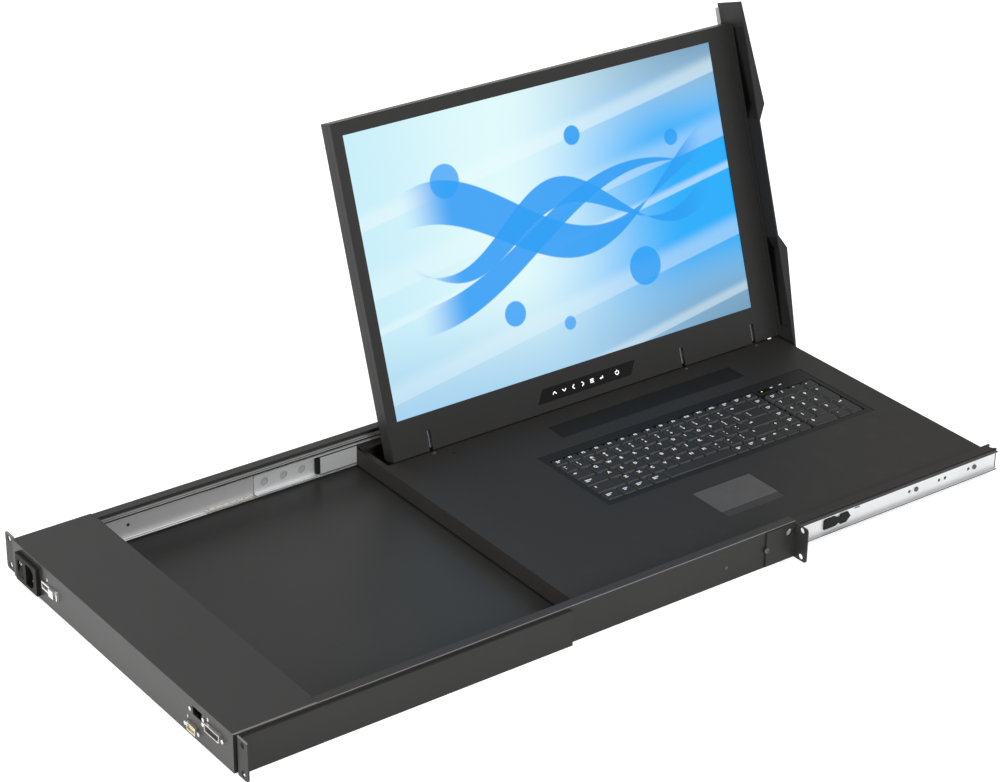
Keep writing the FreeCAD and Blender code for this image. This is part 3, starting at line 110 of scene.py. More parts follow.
class Paint:
    """A material with one Principled surface."""

    def __init__(self, name, **fixed):
        self.material = bpy.data.materials.new(name)
        self.material.use_nodes = True
        self.tree = self.material.node_tree
        self.surface = self.tree.nodes["Principled BSDF"]
        self.place = self.node("TexCoord", output="Object")
        for socket, value in fixed.items():
            self.cover(socket, value)

    def node(self, kind, settings=None, sockets=None, output=0):
        """One node: its settings first, then the values or wires of its sockets."""
        made = self.tree.nodes.new("ShaderNode" + kind)
        for name, value in (settings or {}).items():
            setattr(made, name, value)
        for name, value in (sockets or {}).items():
            self.feed(made.inputs[name], value)
        return Wire(self, made.outputs[output])

    def feed(self, socket, value):
        if isinstance(value, Wire):
            self.tree.links.new(value.output, socket)
        else:
            socket.default_value = value

    def cover(self, socket, value):
        """Set a socket of the surface, named in words_with_underscores."""
        if isinstance(value, tuple) and len(value) == 3:
            value = (*value, 1)
        self.feed(self.surface.inputs[socket.replace("_", " ")], value)

    def grain(self, scale, detail=2.0, stretch=(1, 1, 1)):
        """Noise from 0 to 1 over the row's frame; scale is in lumps per metre."""
        where = self.node("VectorMath", {"operation": "MULTIPLY"}, {0: self.place, 1: stretch})
        return self.node("TexNoise", {}, {"Vector": where, "Scale": scale, "Detail": detail}, "Fac")

    def between(self, mask, first, second):
        """A colour from first to second as the mask goes from 0 to 1."""
        colours = [value if isinstance(value, Wire) else (*value, 1) for value in (first, second)]
        return self.node("Mix", {"data_type": "RGBA"}, {0: mask, 6: colours[0], 7: colours[1]}, 2)

    def bump(self, height, depth):
        """Raise the surface by height times depth, in metres."""
        sockets = {"Height": height, "Distance": depth, "Strength": 1.0}
        self.cover("Normal", self.node("Bump", {}, sockets))


def scaled(colour, factor):
    return tuple(channel * factor for channel in colour)


# ---------------------------------------------------------------- finishes
# Noise scales are in lumps per metre, depths and distances in metres.
COAT_CLOUD, COAT_RUB, COAT_PEEL, COAT_DIMPLE = 7.0, 38.0, 1500.0, 420.0
PEEL_DEPTH = 0.00004
STEEL_CLOUD = 24.0
DRAWN = (6, 900, 900)
LINE_DEPTH = 0.00003
PLASTIC_CLOUD, PLASTIC_PATCH, PLASTIC_SPARK = 60.0, 300.0, 2400.0
SPARK_DEPTH = 0.00003
INK_GRAIN = 900.0
TRACKS_PER_METRE = 1400.0
PAINTED_LINE = (0.03, 0.03, 0.03)


def powder_coat(name, colour, rough, shine, folds=False):
    """Baked black coat: a fine peel, faint clouding and smoother spots. With
    folds, a pale painted line on the top folds of the rack's side walls stands
    in for the shine of their rounded edge."""
    coat = Paint(name, Specular_IOR_Level=shine)
    cloud = coat.grain(COAT_CLOUD, 3.0)
    rub = coat.grain(COAT_RUB, 4.0).step(0.52, 0.75)
    tone = coat.between(cloud, scaled(colour, 0.86), scaled(colour, 1.16))
    if folds:
        y, z = (coat.node("SeparateXYZ", {}, {0: coat.place}, axis) for axis in (1, 2))
        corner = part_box("chassis_pan")[1]
        outer = abs(y).step(corner.y - 1.0 * MM, corner.y - 0.6 * MM)
        upper = z.step(corner.z - 0.9 * MM, corner.z - 0.5 * MM)
        tone = coat.between(outer * upper, tone, scaled(colour, 6))
    coat.cover("Base Color", tone)
    coat.cover("Roughness", rough + cloud * 0.06 - rub * 0.05)
    coat.bump(coat.grain(COAT_PEEL, 2.0) + coat.grain(COAT_DIMPLE, 1.0) * 0.8, PEEL_DEPTH)
    return coat.material


def plated_steel(name, colour, rough=0.26, along=DRAWN, metal=1.0):
    """Plated steel with fine lines; along stretches them."""
    steel = Paint(name, Metallic=metal)
    lines = steel.grain(1.0, 3.0, along)
    cloud = steel.grain(STEEL_CLOUD, 3.0)
    steel.cover("Base Color", steel.between(cloud, scaled(colour, 0.84), colour))
    steel.cover("Roughness", rough + lines * 0.12 + cloud * 0.06)
    steel.bump(lines, LINE_DEPTH)
    return steel.material


def drawer_channel(name):
    """Zinc-plated channel. The dark line painted along its foot stands in for
    a black lip under the rail that has no solid, and the thin one along its
    head for the shadow there."""
    steel = Paint(name, Metallic=0.5)
    height = steel.node("SeparateXYZ", {}, {0: steel.place}, 2)
    low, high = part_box("inner_rail_near")
    tone = steel.between(steel.grain(STEEL_CLOUD, 3.0), (0.62, 0.625, 0.63), (0.74, 0.745, 0.75))
    foot = height.step(low.z + 1.3 * MM, low.z + 1.0 * MM)
    head = height.step(high.z - 0.7 * MM, high.z - 0.5 * MM)
    steel.cover("Base Color", steel.between(foot + head, tone, PAINTED_LINE))
    steel.cover("Roughness", 0.34 + steel.grain(1.0, 3.0, DRAWN) * 0.12)
    return steel.material


# Distances of the outer rails' bands from the middle plane, faded between two.
LIP_BAND = (217.5 * MM, 217.3 * MM)
TRACK_OUT, TRACK_IN = (213.4 * MM, 213.7 * MM), (214.6 * MM, 214.3 * MM)
LIP_EDGE = (211.5 * MM, 211.2 * MM)


def ball_channel(name):
    """Zinc-plated channel. Its bright lips and the dark lines along each track
    and lip edge are painted, in place of the highlights and shadows of folds
    finer than the solid's."""
    steel = Paint(name, Metallic=0.4)
    across = abs(steel.node("SeparateXYZ", {}, {0: steel.place}, 1))
    web = steel.between(steel.grain(STEEL_CLOUD, 3.0), (0.42, 0.42, 0.425), (0.52, 0.52, 0.525))
    tone = steel.between(across.step(*LIP_BAND), web, (0.95, 0.95, 0.95))
    lines = across.step(*TRACK_OUT) * across.step(*TRACK_IN) + across.step(*LIP_EDGE)
    steel.cover("Base Color", steel.between(lines, tone, PAINTED_LINE))
    steel.cover("Roughness", 0.36 + steel.grain(1.0, 3.0, DRAWN) * 0.12)
    return steel.material


def moulded_plastic(name, colour, rough=0.5, spark=SPARK_DEPTH, shine=0.4):
    """Spark-textured moulding."""
    plastic = Paint(name, Specular_IOR_Level=shine)
    cloud = plastic.grain(PLASTIC_CLOUD, 2.0)
    plastic.cover("Base Color", plastic.between(cloud, scaled(colour, 0.88), scaled(colour, 1.12)))
    plastic.cover("Roughness", rough + plastic.grain(PLASTIC_PATCH) * 0.08)
    plastic.bump(plastic.grain(PLASTIC_SPARK), spark)
    return plastic.material


def key_plastic(name, top, skirt):
    """Spark-textured caps, dark on the typing face. The skirts are painted
    paler, in place of the light they would catch."""
    plastic = Paint(name, Specular_IOR_Level=0.15)
    height = plastic.node("SeparateXYZ", {}, {0: plastic.place}, 2)
    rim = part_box("keys_home_row")[1].z
    tone = plastic.between(height.step(rim - 0.9 * MM, rim - 0.3 * MM), skirt, top)
    cloud = plastic.grain(PLASTIC_CLOUD, 2.0)
    plastic.cover("Base Color", plastic.between(cloud * 0.2, tone, (0, 0, 0)))
    plastic.cover("Roughness", 0.45 + plastic.grain(PLASTIC_PATCH) * 0.08)
    plastic.bump(plastic.grain(PLASTIC_SPARK), SPARK_DEPTH)
    return plastic.material


def printed_white(name, lit=0.0):
    """Screen-printed ink, slightly uneven, or the same ink lit from behind."""
    ink = Paint(name, Roughness=0.55)
    tone = ink.between(ink.grain(INK_GRAIN, 3.0), (0.8, 0.8, 0.8), (0.92, 0.92, 0.92))
    ink.cover("Base Color", tone)
    if lit:
        ink.cover("Emission Color", tone)
        ink.cover("Emission Strength", lit)
    return ink.material


def circuit_board(name):
    """Green resist with lighter tracks across it."""
    board = Paint(name, Roughness=0.35)
    where = board.node("SeparateXYZ", {}, {0: board.place}, 0)
    tracks = abs((where * TRACKS_PER_METRE).sine()).step(0.55, 0.7)
    board.cover("Base Color", board.between(tracks, (0.003, 0.02, 0.01), (0.006, 0.04, 0.02)))
    return board.material


def lit_screen(name):
    """A desktop picture, pale on the left and deep blue on the right: slanted
    light bands under woven ribbons and a scatter of discs, behind a matt film."""
    picture = Paint(name, Roughness=0.32, Specular_IOR_Level=0.3)
    x, y, z = (picture.node("SeparateXYZ", {}, {0: picture.place}, axis) for axis in range(3))
    rise = (y - HINGE_LINE.y) * math.cos(RAISED) + (z - HINGE_LINE.z) * math.sin(RAISED)
    across = (x - SCREEN_LEFT) / SCREEN_WIDTH
    up = (rise - SCREEN_LOW) / SCREEN_HEIGHT
    colour = picture.between(across.step(0.0, 0.4), PALE, PALEST)
    low = up.step(0.4, -0.05)
    colour = picture.between(low * 0.85, colour, DUSK)
    blue = across.step(0.36, 0.86) * up.step(-0.12, 0.32) * up.step(1.16, 0.66)
    colour = picture.between(blue, colour, DEEP)
    corner = across.step(0.4, 1.0) * (up.step(0.34, -0.05) + up.step(0.72, 1.05))
    colour = picture.between(corner, colour, SLATE)
    slant = up - across * 0.23
    for start, width, strength in BANDS:
        band = slant.step(start, start + 0.006) * slant.step(start + width, start + width * 0.4)
        colour = picture.between(band * strength, colour, BAND_LIGHT)
    for level, swing, turns, lag, thick in RIBBONS:
        centre = (across * (turns * math.tau) + lag).sine() * swing + level
        body = (across * (turns * math.pi) + lag).sine()
        edge = abs(up - centre) - abs(body) * thick
        ends = across.step(0.1, 0.24) * across.step(0.95, 0.84)
        ribbon = edge.step(SOFT_RIM, -SOFT_RIM) * ends * 0.95
        colour = picture.between(ribbon, colour, RIBBON_BLUE)
    for u, v, size, strength in DISCS:
        far = (across - u) * (SCREEN_WIDTH / SCREEN_HEIGHT)
        gap = (far * far + (up - v) * (up - v)).root()
        disc_mask = gap.step(size + SOFT_RIM, size - SOFT_RIM) * strength
        colour = picture.between(disc_mask, colour, DISC_BLUE)
    picture.cover("Base Color", (0.004, 0.005, 0.006))
    picture.cover("Emission Color", colour)
    picture.cover("Emission Strength", 0.95)
    return picture.material


# The picture's colours, from the pale side to the deep one.
PALE, PALEST = (0.60, 0.88, 0.97), (0.76, 0.975, 0.99)
DUSK, DEEP, SLATE = (0.34, 0.62, 0.87), (0.0, 0.42, 0.98), (0.16, 0.33, 0.5)
BAND_LIGHT = (0.86, 0.98, 1.0)
RIBBON_BLUE, DISC_BLUE = (0.0, 0.34, 0.93), (0.0, 0.35, 0.94)
SOFT_RIM = 0.003

# Its slanted bands (start, width, strength), ribbons (level, swing, turns,
# lag, half thickness) and discs (across, up, radius, strength).
BANDS = (
    (-0.16, 0.05, 0.4), (0.05, 0.1, 0.3), (0.3, 0.04, 0.45),
    (0.42, 0.12, 0.3), (0.66, 0.08, 0.45),
)
RIBBONS = (
    (0.56, 0.14, 1.15, 0.4, 0.085), (0.52, 0.10, 1.7, 2.3, 0.055),
    (0.47, 0.17, 0.8, 4.1, 0.05),
)
DISCS = (
    (0.23, 0.76, 0.06, 0.85), (0.35, 0.24, 0.045, 0.9), (0.58, 0.80, 0.035, 0.95),
    (0.72, 0.27, 0.07, 0.9), (0.85, 0.70, 0.03, 0.9), (0.49, 0.15, 0.025, 0.8),
)


# ---------------------------------------------------------------- screen place
SCREEN_MARGIN = 6.0 * MM


def screen_opening():
    """The picture's left, width, low and height in the display's frame, from
    the panel's solid and the film's margin round it."""
    panel = NODES["lcd_panel"]
    away = DISPLAY.inverted()
    corners = [away @ (panel.matrix_world @ vertex.co) for vertex in panel.data.vertices]
    left = min(c.x for c in corners) + SCREEN_MARGIN
    right = max(c.x for c in corners) - SCREEN_MARGIN
    low = min(c.y for c in corners) + SCREEN_MARGIN
    high = max(c.y for c in corners) - SCREEN_MARGIN
    return left, right - left, low, high - low


SCREEN_LEFT, SCREEN_WIDTH, SCREEN_LOW, SCREEN_HEIGHT = screen_opening()

BLACK = (0.0263, 0.0256, 0.0251)
COAT = powder_coat("black_powder_coat", scaled(BLACK, 1.12), 0.35, 0.13, folds=True)
PANEL_COAT = powder_coat("rear_panel_coat", scaled(BLACK, 0.85), 0.3, 0.3)
DECK_COAT = powder_coat("deck_powder_coat", (0.0268, 0.0249, 0.0234), 0.5, 0.1)
DISPLAY_COAT = powder_coat("display_powder_coat", scaled(BLACK, 0.68), 0.42, 0.24)
ZINC = plated_steel("zinc_plate", (0.74, 0.745, 0.75), 0.34, metal=0.5)
CHANNEL = ball_channel("ball_channel_plate")
SLIDE = drawer_channel("drawer_channel_plate")
BRIGHT = plated_steel("nickel_plate", (0.74, 0.73, 0.7), 0.18, (300, 300, 300))
DARK = plated_steel("black_zinc_plate", (0.1, 0.1, 0.105), 0.3, (300, 300, 300))
SHELL = plated_steel("tinned_shell", (0.8, 0.79, 0.76), 0.22, (200, 200, 200))
KEYS = key_plastic("key_cap_plastic", scaled(BLACK, 0.8), scaled(BLACK, 3.4))
MOULDED = moulded_plastic("black_moulding", (0.010, 0.0095, 0.009), 0.5, shine=0.12)
PAD = moulded_plastic("touch_surface", (0.083, 0.078, 0.074), 0.4, 0.00001, 0.15)
PAD_BUTTON = moulded_plastic("touch_button_plastic", (0.034, 0.032, 0.031), 0.42, shine=0.15)
GLOSS = moulded_plastic("gloss_black", (0.004, 0.004, 0.004), 0.16, 0.000002, 0.12)
SMOKED = moulded_plastic("smoked_lens", (0.004, 0.005, 0.003), 0.2, 0.000002, 0.12)
RESIST = circuit_board("green_resist")
PRINT = printed_white("white_print")
LIT_PRINT = printed_white("lit_print", 0.8)
PICTURE = lit_screen("lit_picture")

# What each finish covers, by the start of the nodes' names. A later row wins.
FINISHES = (
    (CHANNEL, "outer_rail"),
    (ZINC, "mid_rail hinge_blocks power_supply panel_flanges"),
    (SLIDE, "inner_rail"),
    (BRIGHT, "ball_cage hinge_screws hinge_pins panel_screws port_standoffs inlet_pins"),
    (DARK, "ear_screws bracket_screws inner_rail_screws outer_rail_screws"),
    (SHELL, "vga_port console_port service_port"),
    (MOULDED, "power_inlet power_rocker keyboard_frame accessory_strip release_lever tail_stops"),
    (KEYS, "keys_ space_bar"),
    (PAD, "touchpad"),
    (PAD_BUTTON, "touch_button"),
    (GLOSS, "control_panel"),
    (SMOKED, "led_window"),
    (RESIST, "driver_board interface_board"),
    (PICTURE, "lcd_panel"),
    (DISPLAY_COAT, "display_back display_bezel front_panel hinge_arms"),
    (DECK_COAT, "drawer_tray drawer_end_walls keyboard_deck"),
    (PANEL_COAT, "rear_panel"),
    (COAT, "chassis_pan rear_cover front_ear rear_bracket"),
)


def named(words):
    """The nodes whose names start with one of the words."""
    return [NODES[name] for name in NODES if name.startswith(tuple(words.split()))]


def paint_nodes():
    for material, words in FINISHES:
        for thing in named(words):
            for slot in thing.material_slots:
                slot.material = material


# ---------------------------------------------------------------- edges
# Which nodes have rounded edges, the rounding and its steps.
EDGES = (
    ("chassis_pan", 0.9 * MM, 3),
    ("rear_cover front_ear rear_bracket drawer_tray front_panel", 0.35 * MM, 2),
    ("display_bezel display_back", 0.5 * MM, 2),
    ("keys_ space_bar", 0.7 * MM, 2),
)
SHARPER_THAN = math.radians(40)


def soften_edges():
    """Round the solids' sharp edges, so that they catch the light."""
    for words, width, steps in EDGES:
        for thing in named(words):
            bevel = thing.modifiers.new("edge", "BEVEL")
            bevel.width = width
            bevel.segments = steps
            bevel.limit_method = "ANGLE"
            bevel.angle_limit = SHARPER_THAN
            bevel.harden_normals = False


# ---------------------------------------------------------------- mesh tools
def prism(mesh, outline, low, high, place=Matrix()):
    """A solid between two heights from an outline that runs anticlockwise."""
    bottom = [mesh.verts.new(place @ Vector((x, y, low))) for x, y in outline]
    top = [mesh.verts.new(place @ Vector((x, y, high))) for x, y in outline]
    mesh.faces.new(list(reversed(bottom)))
    mesh.faces.new(top)
    for here in range(len(outline)):
        after = (here + 1) % len(outline)
        mesh.faces.new((bottom[here], bottom[after], top[after], top[here]))


def disc(radius, x=0.0, y=0.0, sides=20):
    turns = [math.tau * side / sides for side in range(sides)]
    return [(x + radius * math.cos(turn), y + radius * math.sin(turn)) for turn in turns]


def bar(x0, x1, y0, y1):
    return [(x0, y0), (x1, y0), (x1, y1), (x0, y1)]


def stroke(start, end, width):
    """A straight line of a given width as an outline."""
    start, end = Vector(start), Vector(end)
    side = (end - start).normalized().orthogonal() * (width / 2)
    return [tuple(point) for point in (start - side, start + side, end + side, end - side)][::-1]


def ring(mesh, inner, outer, start, sweep, steps, place):
    """A flat ring, or a part of one, made of short blocks."""
    for step in range(steps):
        a, b = (start + sweep * (step + end) / steps for end in (0, 1))
        corners = ((b, inner), (b, outer), (a, outer), (a, inner))
        outline = [(math.cos(turn) * radius, math.sin(turn) * radius) for turn, radius in corners]
        prism(mesh, outline, -INK, INK, place)


def facing(side, up, out, spot):
    """The place of a flat sign: its right, its top, its outward side and its origin."""
    return Matrix([(*axes, 0) for axes in (side, up, out)] + [(*spot, 1)]).transposed()


GLYPHS = {}
GLYPH_DEPTH = 0.01
GLYPH_BOLD = 0.06


def glyph(text):
    """A character's mesh, one unit high, standing on the x axis."""
    if text not in GLYPHS:
        curve = bpy.data.curves.new("glyph", "FONT")
        curve.body = text
        curve.resolution_u = 2
        curve.extrude = GLYPH_DEPTH
        curve.offset = GLYPH_BOLD
        thing = bpy.data.objects.new("glyph", curve)
        GLYPHS[text] = bpy.data.meshes.new_from_object(thing)
        bpy.data.objects.remove(thing)
    return GLYPHS[text]


def write(mesh, text, size, place):
    """Print a character on a flat face at a place."""
    before = len(mesh.verts)
    mesh.from_mesh(glyph(text))
    mesh.verts.ensure_lookup_table()
    for vertex in mesh.verts[before:]:
        vertex.co = place @ (vertex.co * size)


def piece(name, mesh, material, body):
    """A finished mesh that rides on a body."""
    bmesh.ops.recalc_face_normals(mesh, faces=mesh.faces)
    data = bpy.data.meshes.new(name)
    mesh.to_mesh(data)
    mesh.free()
    data.materials.append(material)
    thing = bpy.data.objects.new(name, data)
    bpy.context.scene.collection.objects.link(thing)
    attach(thing, body)


# ---------------------------------------------------------------- key legends
INK = 0.03 * MM
SHORT_KEY = 11 * MM
KEY_STEP = 9 * MM
LETTER, SMALL_LETTER = 5.6 * MM, 4.4 * MM
SHIFTED_STEP = 5.4 * MM
ARROWS = ("right", "up", "left", "down")


def caps(node):
    """The flat top of each key in a group: left, right, front, back and
    height, from the operator's left and front."""
    mesh = bmesh.new()
    mesh.from_mesh(NODES[node].data)
    bmesh.ops.remove_doubles(mesh, verts=mesh.verts, dist=0.01 * MM)
    top = max(vertex.co.z for vertex in mesh.verts)
    faces = {
        face for face in mesh.faces
        if face.normal.z > 0.9 and face.calc_center_median().z > top - 0.1 * MM
    }
    found = []
    while faces:
        island = [faces.pop()]
        for face in island:
            near = {other for edge in face.edges for other in edge.link_faces} & faces
            faces -= near
            island.extend(near)
        spots = [vertex.co for face in island for vertex in face.verts]
        xs = [spot.x for spot in spots]
        ys = [spot.y for spot in spots]
        found.append((min(xs), max(xs), min(ys), max(ys), top))
    mesh.free()
    return sorted(found, key=lambda cap: (round(cap[2] / KEY_STEP), cap[0]))


def legend_icon(mesh, kind, size, place):
    """Small generic signs for the keys that carry no character."""
    line = size * 0.26
    if kind in ARROWS:
        middle = place @ Matrix.Translation((size * 0.4, size * 0.35, 0))
        spin = middle @ Matrix.Rotation(ARROWS.index(kind) * math.pi / 2, 4, "Z")
        tip = [(-size * 0.15, -size * 0.32), (size * 0.4, 0), (-size * 0.15, size * 0.32)]
        prism(mesh, tip, -INK, INK, spin)
        prism(mesh, bar(-size * 0.45, -size * 0.12, -line / 2, line / 2), -INK, INK, spin)
    elif kind == "return":
        prism(mesh, bar(size * 0.2, size * 0.95, 0, line), -INK, INK, place)
        prism(mesh, bar(size * 0.95 - line, size * 0.95, line, size * 0.55), -INK, INK, place)
        tip = [(0, line / 2), (size * 0.3, -size * 0.18), (size * 0.3, size * 0.3)]
        prism(mesh, tip, -INK, INK, place)


# Every group's legends from the operator's left; two characters are the
# shifted one and the plain one, and a word is a sign.
LEGENDS = {
    "keys_number_row": [
        "~`", "!1", "@2", "#3", "$4", "%5", "^6", "&7", "*8", "(9", ")0", "_-", "+=", "left", "bar",
    ],
    "keys_top_row": ["right", *"QWERTYUIOP", "{[", "}]", "|\\", "bar"],
    "keys_home_row": ["bar", *"ASDFGHJKL", ":;", "\"'", "return", "bar"],
    "keys_shift_row": ["up", *"ZXCVBNM", "<,", ">.", "?/", "up", "up", "bar"],
    "keys_control_row": [*["bar"] * 7, "left", "down", "right"],
    "keys_function_row": ["bar", *("F" + str(number) for number in range(1, 13)), *["bar"] * 3],
    "keys_number_pad": ["0", ".", "return", *"123", *"456", "+", *"789", "bar", *"/*-"],
}


def key_legends():
    for node, legends in LEGENDS.items():
        mesh = bmesh.new()
        for (left, right, front, back, top), legend in zip(caps(node), legends):
            small = back - front < SHORT_KEY
            size = SMALL_LETTER if small or len(legend) == 2 else LETTER
            x = left + 2.0 * MM
            y = back - size * 0.72 - (0.9 if small else 1.6) * MM
            spot = Matrix.Translation((x, y, top + INK))
            if legend == "bar":
                long = min((right - left) * 0.45, 9 * MM)
                prism(mesh, bar(0, long, 0, 1.5 * MM), -INK, INK, spot)
                prism(mesh, bar(0, long * 0.6, -2.6 * MM, -1.1 * MM), -INK, INK, spot)
            elif legend in (*ARROWS, "return"):
                legend_icon(mesh, legend, size, spot)
            elif legend[0] == "F" and len(legend) > 1:
                write(mesh, legend, size, spot)
            else:
                for number, character in enumerate(legend):
                    lower = Matrix.Translation((0, -number * SHIFTED_STEP, 0))
                    write(mesh, character, size, lower @ spot)
        piece(node + "_legends", mesh, PRINT, node + "_body")


# ---------------------------------------------------------------- menu signs
SIGN = 5.2 * MM
SIGN_LINE = 1.15 * MM
# The signs' places along the strip: up, down, left, right, menu, return, power.
SIGN_SPOTS = tuple(x * MM for x in (-29.5, -15.5, -2, 11.5, 25, 39, 62))
CHEVRON_TURNS = (0, 2, 1, 3)


def menu_signs():
    """Arrows, menu, return and power signs on the touch strip."""
    mesh = bmesh.new()
    away = DISPLAY.inverted()
    face = max((away @ vertex.co).z for vertex in NODES["control_panel"].data.vertices)
    arm = SIGN * 0.5
    places = [DISPLAY @ Matrix.Translation((x, 0, face + INK)) for x in SIGN_SPOTS]
    raised = Matrix.Translation((0, 0, INK))
    for spot, turn in zip(places, CHEVRON_TURNS):
        place = spot @ Matrix.Rotation(turn * math.pi / 2, 4, "Z")
        tip = (0, arm * 0.6)
        prism(mesh, stroke((-arm, -arm * 0.5), tip, SIGN_LINE), -INK, INK, place)
        prism(mesh, stroke(tip, (arm, -arm * 0.5), SIGN_LINE), -INK, INK, place @ raised)
    menu, back, power = places[4:]
    for y in (-arm * 0.7, 0, arm * 0.7):
        prism(mesh, bar(-arm, arm, y - SIGN_LINE / 2, y + SIGN_LINE / 2), -INK, INK, menu)
    legend_icon(mesh, "return", SIGN, back @ Matrix.Translation((-arm, -arm * 0.4, 0)))
    ring(mesh, SIGN * 0.36, SIGN * 0.56, math.radians(125), math.radians(290), 18, power)
    prism(mesh, bar(-SIGN_LINE / 2, SIGN_LINE / 2, SIGN * 0.15, SIGN * 0.62), -INK, INK, power)
    piece("menu_signs", mesh, LIT_PRINT, "display")


MARK_LEFT = (19 * MM, 33 * MM)
MARK_LENGTH, MARK_HALF, MARK_SHIFT = 3.4 * MM, 0.6 * MM, 1.5 * MM


def status_lights():
    """One lit lamp on the smoked window and two printed marks beside it."""
    low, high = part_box("led_window")
    glow = Paint("lamp_glow", Base_Color=(0.3, 0.4, 0.05), Roughness=0.3)
    glow.cover("Emission Color", (0.75, 1.0, 0.25, 1))
    glow.cover("Emission Strength", 1.6)
    mesh = bmesh.new()
    middle = (low.y + high.y) / 2
    prism(mesh, disc(0.8 * MM, low.x + 5 * MM, middle), high.z, high.z + 0.15 * MM)
    piece("status_lamp", mesh, glow.material, "drawer")
    mesh = bmesh.new()
    top = max(high.z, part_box("keyboard_frame")[1].z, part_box("keyboard_deck")[1].z)
    y = middle + MARK_SHIFT
    for left in MARK_LEFT:
        x = low.x + left
        outline = bar(x, x + MARK_LENGTH, y - MARK_HALF, y + MARK_HALF)
        prism(mesh, outline, high.z, top + 0.1 * MM)
    piece("status_marks", mesh, PRINT, "drawer")


# ---------------------------------------------------------------- rear
INSERT_FACE, INSERT_FLOOR = 2.2 * MM, 6.4 * MM
INSERT_TALL = 2.7 * MM
FLANGE = 9.5 * MM
CONTACT, CONTACT_ROW = 0.5 * MM, 1.9 * MM


def connector_insert(node, colour, rows):
    """The moulded insert in a video connector's mouth, with black discs on its face: painted shade
    standing in for its contact holes.
    """
    low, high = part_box(node)
    face = low.x + INSERT_FACE
    half = (high.y - low.y) / 2 - FLANGE
    spot = (0, (low.y + high.y) / 2, (low.z + high.z) / 2)
    place = facing((0, 1, 0), (0, 0, 1), (1, 0, 0), spot)
    outline = [
        (-half, -INSERT_TALL), (half, -INSERT_TALL),
        (half + MM, INSERT_TALL), (-half - MM, INSERT_TALL),
    ]
    mesh = bmesh.new()
    prism(mesh, outline, face, low.x + INSERT_FLOOR, place)
    insert = moulded_plastic(node + "_insert_plastic", colour, 0.45)
    piece(node + "_insert", mesh, insert, "rack")
    # Black discs on the insert's face: painted shade in place of the contact holes, which have no
    # depth.
    mesh = bmesh.new()
    pitch = 2 * half / max(rows)
    for row, count in enumerate(rows):
        for number in range(count):
            y = (number - (count - 1) / 2) * pitch
            z = (row - (len(rows) - 1) / 2) * CONTACT_ROW
            prism(mesh, disc(CONTACT, y, z, 10), face - 0.1 * MM, face + 0.2 * MM, place)
    piece(node + "_hole_shade", mesh, MOULDED, "rack")


PORT_MARKS = (("1", "vga_port", 12), ("2", "console_port", 13), ("3", "service_port", 9))
PORT_MARK_SIZE = 4.2 * MM


def rear_marks():
    """Plain numbers beside the rear connectors."""
    away = min(corner.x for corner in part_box("rear_panel")) - INK
    mesh = bmesh.new()
    for text, node, step in PORT_MARKS:
        low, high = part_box(node)
        spot = (away, (low.y + high.y) / 2 + step * MM, high.z + 0.6 * MM)
        write(mesh, text, PORT_MARK_SIZE, facing((0, -1, 0), (0, 0, 1), (-1, 0, 0), spot))
    piece("rear_marks", mesh, PRINT, "rack")


ROCKER_RING = (1.7 * MM, 2.4 * MM)


def rocker_mark():
    """A white ring on the rocker's upper half."""
    faces = [face for face in NODES["power_rocker"].data.polygons if face.normal.x < -0.8]
    face = max(faces, key=lambda one: one.area * (1 + one.center.z))
    out = face.normal.copy()
    side = Vector((0, 1, 0))
    place = facing(side, out.cross(side), out, face.center)
    mesh = bmesh.new()
    ring(mesh, ROCKER_RING[0], ROCKER_RING[1], 0.0, math.tau, 20, place)
    piece("rocker_mark", mesh, PRINT, "rocker")


# ---------------------------------------------------------------- stage
SEEN_BY = ("Is Camera Ray", "Is Glossy Ray", "Is Transmission Ray")
FLOOR_REACH = 14.0
FLOOR_TONE = 0.86
FLOOR_SEEN = 0.63
WORLD_LIGHT, WORLD_SEEN = 0.52, 1.0
# Each lamp's name, place, target, width in metres and power in watts.
LAMPS = (
    ("front", (-0.6, -3.0, 1.5), (0.0, 0.0, 0.1), 1.4, 60),
    ("back", (-0.6, 2.8, 2.2), (-0.2, 0.0, 0.0), 1.6, 24),
    ("rear", (-2.8, -0.3, 0.5), (-0.5, 0.0, 0.0), 1.4, 45),
)


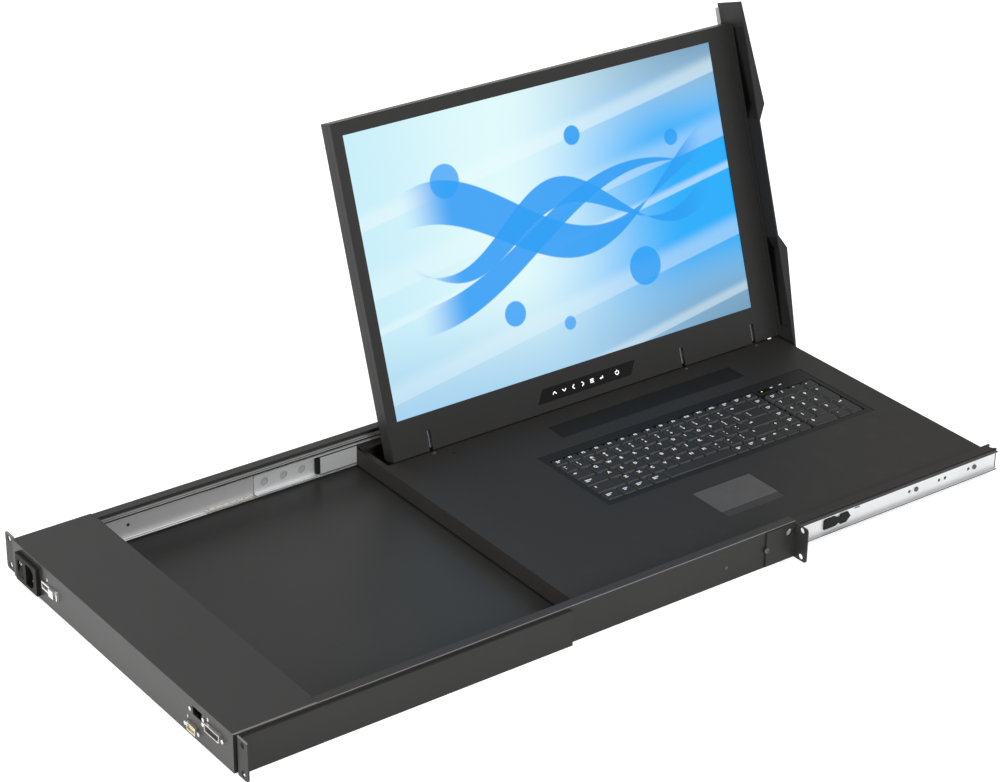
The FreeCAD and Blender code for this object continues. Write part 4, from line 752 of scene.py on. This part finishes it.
def studio():
    """A floor and world that camera, glossy and transmission rays see as
    white, and three soft lamps."""
    white = Paint("stage_white", Roughness=0.9)
    white.cover("Base Color", (FLOOR_TONE,) * 3)
    camera, glossy, through = (white.node("LightPath", {}, {}, ray) for ray in SEEN_BY)
    seen = white.between(camera + glossy + through, (0.0, 0.0, 0.0), (FLOOR_SEEN,) * 3)
    white.cover("Emission Color", seen)
    white.cover("Emission Strength", 1.0)
    mesh = bmesh.new()
    drop = CAD_BOX[0][2] - 0.5 * MM
    outline = bar(-FLOOR_REACH, FLOOR_REACH, -FLOOR_REACH, FLOOR_REACH)
    mesh.faces.new([mesh.verts.new((x, y, drop)) for x, y in outline])
    data = bpy.data.meshes.new("floor")
    mesh.to_mesh(data)
    data.materials.append(white.material)
    floor = bpy.data.objects.new("floor", data)
    bpy.context.scene.collection.objects.link(floor)

    world = bpy.data.worlds.new("studio")
    world.use_nodes = True
    bpy.context.scene.world = world
    tree = world.node_tree
    sky = tree.nodes["Background"]
    path = tree.nodes.new("ShaderNodeLightPath")
    level = tree.nodes.new("ShaderNodeMapRange")
    seen = path.outputs[SEEN_BY[0]]
    for ray in SEEN_BY[1:]:
        both = tree.nodes.new("ShaderNodeMath")
        tree.links.new(seen, both.inputs[0])
        tree.links.new(path.outputs[ray], both.inputs[1])
        seen = both.outputs[0]
    tree.links.new(seen, level.inputs["Value"])
    level.inputs["To Min"].default_value = WORLD_LIGHT
    level.inputs["To Max"].default_value = WORLD_SEEN
    sky.inputs["Color"].default_value = (1, 1, 1, 1)
    tree.links.new(level.outputs[0], sky.inputs["Strength"])

    for settings in LAMPS:
        lamp(*settings)


def lamp(name, place, target, size, power):
    data = bpy.data.lights.new(name, "AREA")
    data.shape = "DISK"
    data.size = size
    data.energy = power
    thing = bpy.data.objects.new(name, data)
    thing.location = place
    thing.rotation_mode = "QUATERNION"
    thing.rotation_quaternion = (Vector(target) - Vector(place)).to_track_quat("-Z", "Y")
    bpy.context.scene.collection.objects.link(thing)


CAMERA_PLACE = (-1.7778, -2.0882, 1.4825)
CAMERA_AZIMUTH = 35.98
CAMERA_DIP = 27.09
CAMERA_ROLL = 0.45
CAMERA_LENS = 100.09
CAMERA_SENSOR = 36
CAMERA_SHIFT = (0.0258, -0.0018)


def camera():
    data = bpy.data.cameras.new("camera")
    data.lens = CAMERA_LENS
    data.sensor_width = CAMERA_SENSOR
    data.shift_x, data.shift_y = CAMERA_SHIFT
    data.clip_start = 0.1
    data.clip_end = 60
    thing = bpy.data.objects.new("camera", data)
    turn = Matrix.Rotation(math.radians(-CAMERA_AZIMUTH), 4, "Z")
    dip = Matrix.Rotation(math.radians(90 - CAMERA_DIP), 4, "X")
    roll = Matrix.Rotation(math.radians(CAMERA_ROLL), 4, "Z")
    thing.matrix_world = Matrix.Translation(CAMERA_PLACE) @ turn @ dip @ roll
    bpy.context.scene.collection.objects.link(thing)
    bpy.context.scene.camera = thing


# ---------------------------------------------------------------- making
camera()
studio()
paint_nodes()
soften_edges()
key_legends()
menu_signs()
status_lights()
connector_insert("vga_port", (0.86, 0.7, 0.36), (5, 5, 5))
connector_insert("console_port", (0.02, 0.02, 0.02), (7, 8))
rocker_mark()
rear_marks()

bpy.context.scene.view_settings.view_transform = "Standard"
